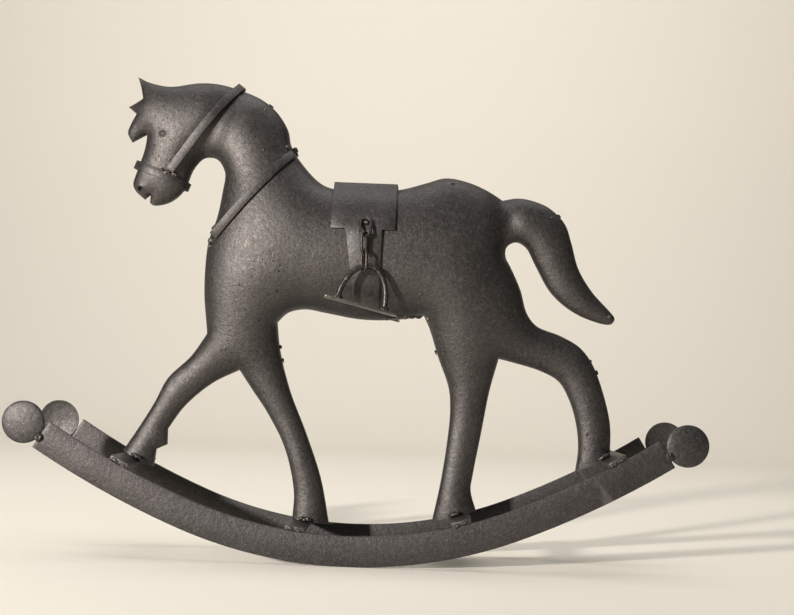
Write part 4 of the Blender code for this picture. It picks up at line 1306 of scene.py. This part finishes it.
@dataclass
class Welds:
    """Every bead and button of weld metal that holds the horse together."""

    shells: HalfShells
    tack_reach: float = 51.0 * MM  # of the slats' tacks from the seam plane
    tack_sink: float = 1.2 * MM
    tacks: tuple[tuple[float, float], ...] = ((0.3, 2.4), (0.7, 1.8))  # share across, size in mm
    groups: dict[str, tuple[Lump, ...]] = field(default_factory=lambda: {
        "skin_tacks": (
            Lump((-153.0, 372.5)), Lump((-89.0, 325.0), 2.2, 1.2, 0.8, 60.0),
            Lump((-92.0, 319.5), 1.6, 0.8, 0.7, -50.0), Lump((-90.0, 363.0), 1.9, 1.3, 1.0),
            Lump((166.5, 277.5)), Lump((221.5, 191.5), 1.9, 1.9, 1.1),
            Lump((206.0, 151.5), 1.9, 1.6), Lump((205.5, 87.0), 1.9, 1.2, 0.9, 80.0),
            Lump((76.5, 153.5), 2.2, 1.9, 1.2), Lump((61.5, 183.0), 2.6, 1.4, 1.0, -40.0),
            Lump((-70.0, 154.0), 1.6, 1.6), Lump((77.5, 303.0), 2.2, 1.2),
            Lump((67.7, 229.5), 1.4, 1.0, 0.6), Lump((53.3, 204.0), 1.8, 1.0, 0.7, 30.0),
        ),
        "bridle_joint": (
            Lump((-174.5, 303.0), 4.2, 2.2, 1.6, 25.0, 1.4),
            Lump((-168.0, 302.0), 3.4, 2.0, 1.4, -20.0, 1.4),
            Lump((-178.5, 305.0), 2.4, 1.6, 1.2, 70.0, 1.0),
        ),
        "neck_strap_joints": (
            Lump((-64.5, 328.5), 4.2, 2.6, 1.8, 45.0, 0.8),
            Lump((-69.0, 330.5), 2.6, 1.8, 1.4, 10.0, 0.8),
            Lump((-132.5, 245.5), 3.6, 3.0, 1.6, 40.0, 0.8),
            Lump((-134.0, 240.0), 2.4, 1.8, 1.2, 0.0, 0.4),
        ),
        "belly_seam": tuple(
            Lump((24.0 + 5.6 * i, 183.0 + 0.55 * i), 3.6, 1.1, 1.2, 6.0) for i in range(6)),
    })

    def build(self) -> None:
        """Roughen the frame's beads, then add spatter and tacks."""
        for node in sorted(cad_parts):
            if node.startswith(("seam_weld", "hoof_weld", "disc_weld", "chain_weld")):
                refine(node, f"rough_{node}", "root", BEAD)
        for side in Side:
            for name, lumps in self.groups.items():
                self._build_group(f"{name}_{side.word}", lumps, side)
            self._build_slat_tacks(side)

    def _build_group(self, name: str, lumps: tuple[Lump, ...], side: Side) -> None:
        """Lay several drops on one half shell.

        Args:
            name: Name of the piece that holds them.
            lumps: The drops.
            side: The half shell's side.
        """
        spots = []
        for lump in lumps:
            place = self.shells.outline.place(*lump.at)
            out = max(self.shells.height(place.x, place.y), GAP) + lump.lift * MM
            sizes = Vector((lump.length, lump.height, lump.width)) * MM
            spots.append((Vector((place.x, side.value * out, place.y)), sizes, lump.turn))
        self._drops(name, spots)

    def _build_slat_tacks(self, side: Side) -> None:
        """Lay a tack at each end of every cross slat, in the corner with its rocker."""
        spots = []
        for name in CrossSlats.names:
            low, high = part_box(f"cross_slat_{name}")
            slope = math.degrees(math.atan2(high.z - low.z, high.x - low.x))
            turn = slope if low.x > 0 else -slope
            for share, size in self.tacks:
                drop = share if low.x > 0 else 1 - share
                spot = Vector((low.x + (high.x - low.x) * share, side.value * self.tack_reach,
                               low.z + (high.z - low.z) * drop - self.tack_sink))
                spots.append((spot, Vector((size * 1.5, 1.7, size * 0.8)) * MM, turn))
        self._drops(f"slat_tacks_{side.word}", spots)

    def _drops(self, name: str, spots: list[tuple[Vector, Vector, float]]) -> None:
        """Make one piece of lumpy drops.

        Args:
            name: Name of the piece.
            spots: Middle, half sizes and turn in degrees of each drop.
        """
        shape = bmesh.new()
        for middle, sizes, turn in spots:
            place = (Matrix.Translation(middle) @ Matrix.Rotation(-math.radians(turn), 4, "Y")
                     @ Matrix.Diagonal((*sizes, 1.0)))
            bmesh.ops.create_icosphere(shape, subdivisions=3, radius=1.0, matrix=place)
        points, faces = taken_apart(shape)
        made = new_piece(name, points, faces, SPATTER.slot)
        roughen(made, SPATTER.lump, SPATTER.lump_size, SPATTER.swell)


# Studio


@dataclass
class Studio:
    """Floor, light and camera."""

    eye: Vector = field(default_factory=lambda: Vector((59.55, -1061.0, 148.95)) * MM)
    lens: float = 53.9
    roll: float = math.radians(2.2)
    shift: tuple[float, float] = (-0.038, 0.110)
    width: float = 12.0  # of the paper sweep
    front: float = -6.0  # where the sweep starts
    wall: float = 3.2  # where its wall stands
    top: float = 6.0
    bend: float = 1.2
    bend_parts: int = 16
    key_place: Vector = field(default_factory=lambda: Vector((-1.4, -1.9, 0.62)))
    key_watts: float = 80.0
    key_size: float = 0.16
    key_aim: Vector = field(default_factory=lambda: Vector((0.0, 0.0, 0.2)))
    wash_watts: float = 56.0
    wash_size: float = 3.0
    wash_place: Vector = field(default_factory=lambda: Vector((0.0, 0.5, 2.6)))
    surround: float = 0.1

    def build(self) -> None:
        """Set up the studio."""
        self._build_floor()
        self._build_light()
        self._build_camera()

    def _build_floor(self) -> None:
        """A floor that curves up into a backdrop."""
        profile = [Vector((self.front, 0.0)), Vector((self.wall - self.bend, 0.0))]
        for i in range(1, self.bend_parts + 1):
            angle = math.pi / 2 * i / self.bend_parts
            profile.append(Vector((self.wall - self.bend + self.bend * math.sin(angle),
                                   self.bend * (1 - math.cos(angle)))))
        profile.append(Vector((self.wall, self.top)))
        points = [(x, p.x, p.y) for p in profile for x in (-self.width / 2, self.width / 2)]
        faces = [(2 * i, 2 * i + 1, 2 * i + 3, 2 * i + 2) for i in range(len(profile) - 1)]
        mesh = bpy.data.meshes.new("studio_sweep")
        mesh.from_pydata(points, [], faces)
        mesh.shade_smooth()
        mesh.materials.append(MattPaper().make())
        sweep = bpy.data.objects.new("studio_sweep", mesh)
        bpy.context.scene.collection.objects.link(sweep)

    def _build_light(self) -> None:
        """A soft key from the front left, a wash on the backdrop and a pale surround."""
        world = bpy.data.worlds.new("studio_surround")
        bpy.context.scene.world = world
        world.use_nodes = True
        back = world.node_tree.nodes["Background"]
        back.inputs["Color"].default_value = linear("#f4f2f0")
        back.inputs["Strength"].default_value = self.surround
        self._add_light("key_light", self.key_watts, self.key_size, "#fffaf5", self.key_place,
                        self.key_aim)
        self._add_light("backdrop_wash", self.wash_watts, self.wash_size, "#ffffff",
                        self.wash_place, Vector((0.0, self.wall, 0.5)))

    def _add_light(
        self, name: str, watts: float, size: float, tint: str, place: Vector, target: Vector
    ) -> None:
        """Hang one round soft light.

        Args:
            name: Name of the light.
            watts: Its power.
            size: Its diameter in metres.
            tint: Its sRGB hex colour.
            place: Where it hangs.
            target: What it is aimed at.
        """
        light = bpy.data.lights.new(name, "AREA")
        light.shape = "DISK"
        light.size = size
        light.energy = watts
        light.color = linear(tint)[:3]
        lamp = bpy.data.objects.new(name, light)
        bpy.context.scene.collection.objects.link(lamp)
        lamp.location = place
        lamp.rotation_euler = (target - place).to_track_quat("-Z", "Y").to_euler()

    def _build_camera(self) -> None:
        """The camera looks level along +Y, a little rolled."""
        data = bpy.data.cameras.new("camera")
        data.lens = self.lens
        data.shift_x, data.shift_y = self.shift
        data.clip_start = 0.05
        camera = bpy.data.objects.new("camera", data)
        bpy.context.scene.collection.objects.link(camera)
        level = Matrix.Rotation(math.pi / 2, 4, "X")
        camera.matrix_world = (Matrix.Translation(self.eye)
                               @ level @ Matrix.Rotation(self.roll, 4, "Z"))
        bpy.context.scene.camera = camera
        bpy.context.scene.view_settings.view_transform = "Standard"


def main() -> None:
    """Build every sub-assembly in order."""
    logging.basicConfig(level=logging.INFO, format="%(message)s")
    Studio().build()
    outline = HorseOutline()
    shells = HalfShells(outline)
    shells.build()
    for assembly in (Bridle(shells), SaddlePlate(shells), Rockers(), CrossSlats(),
                     ChainsAndStirrups(), Welds(shells)):
        assembly.build()
        log.info("%s done", type(assembly).__name__)


if __name__ == "__main__":
    main()
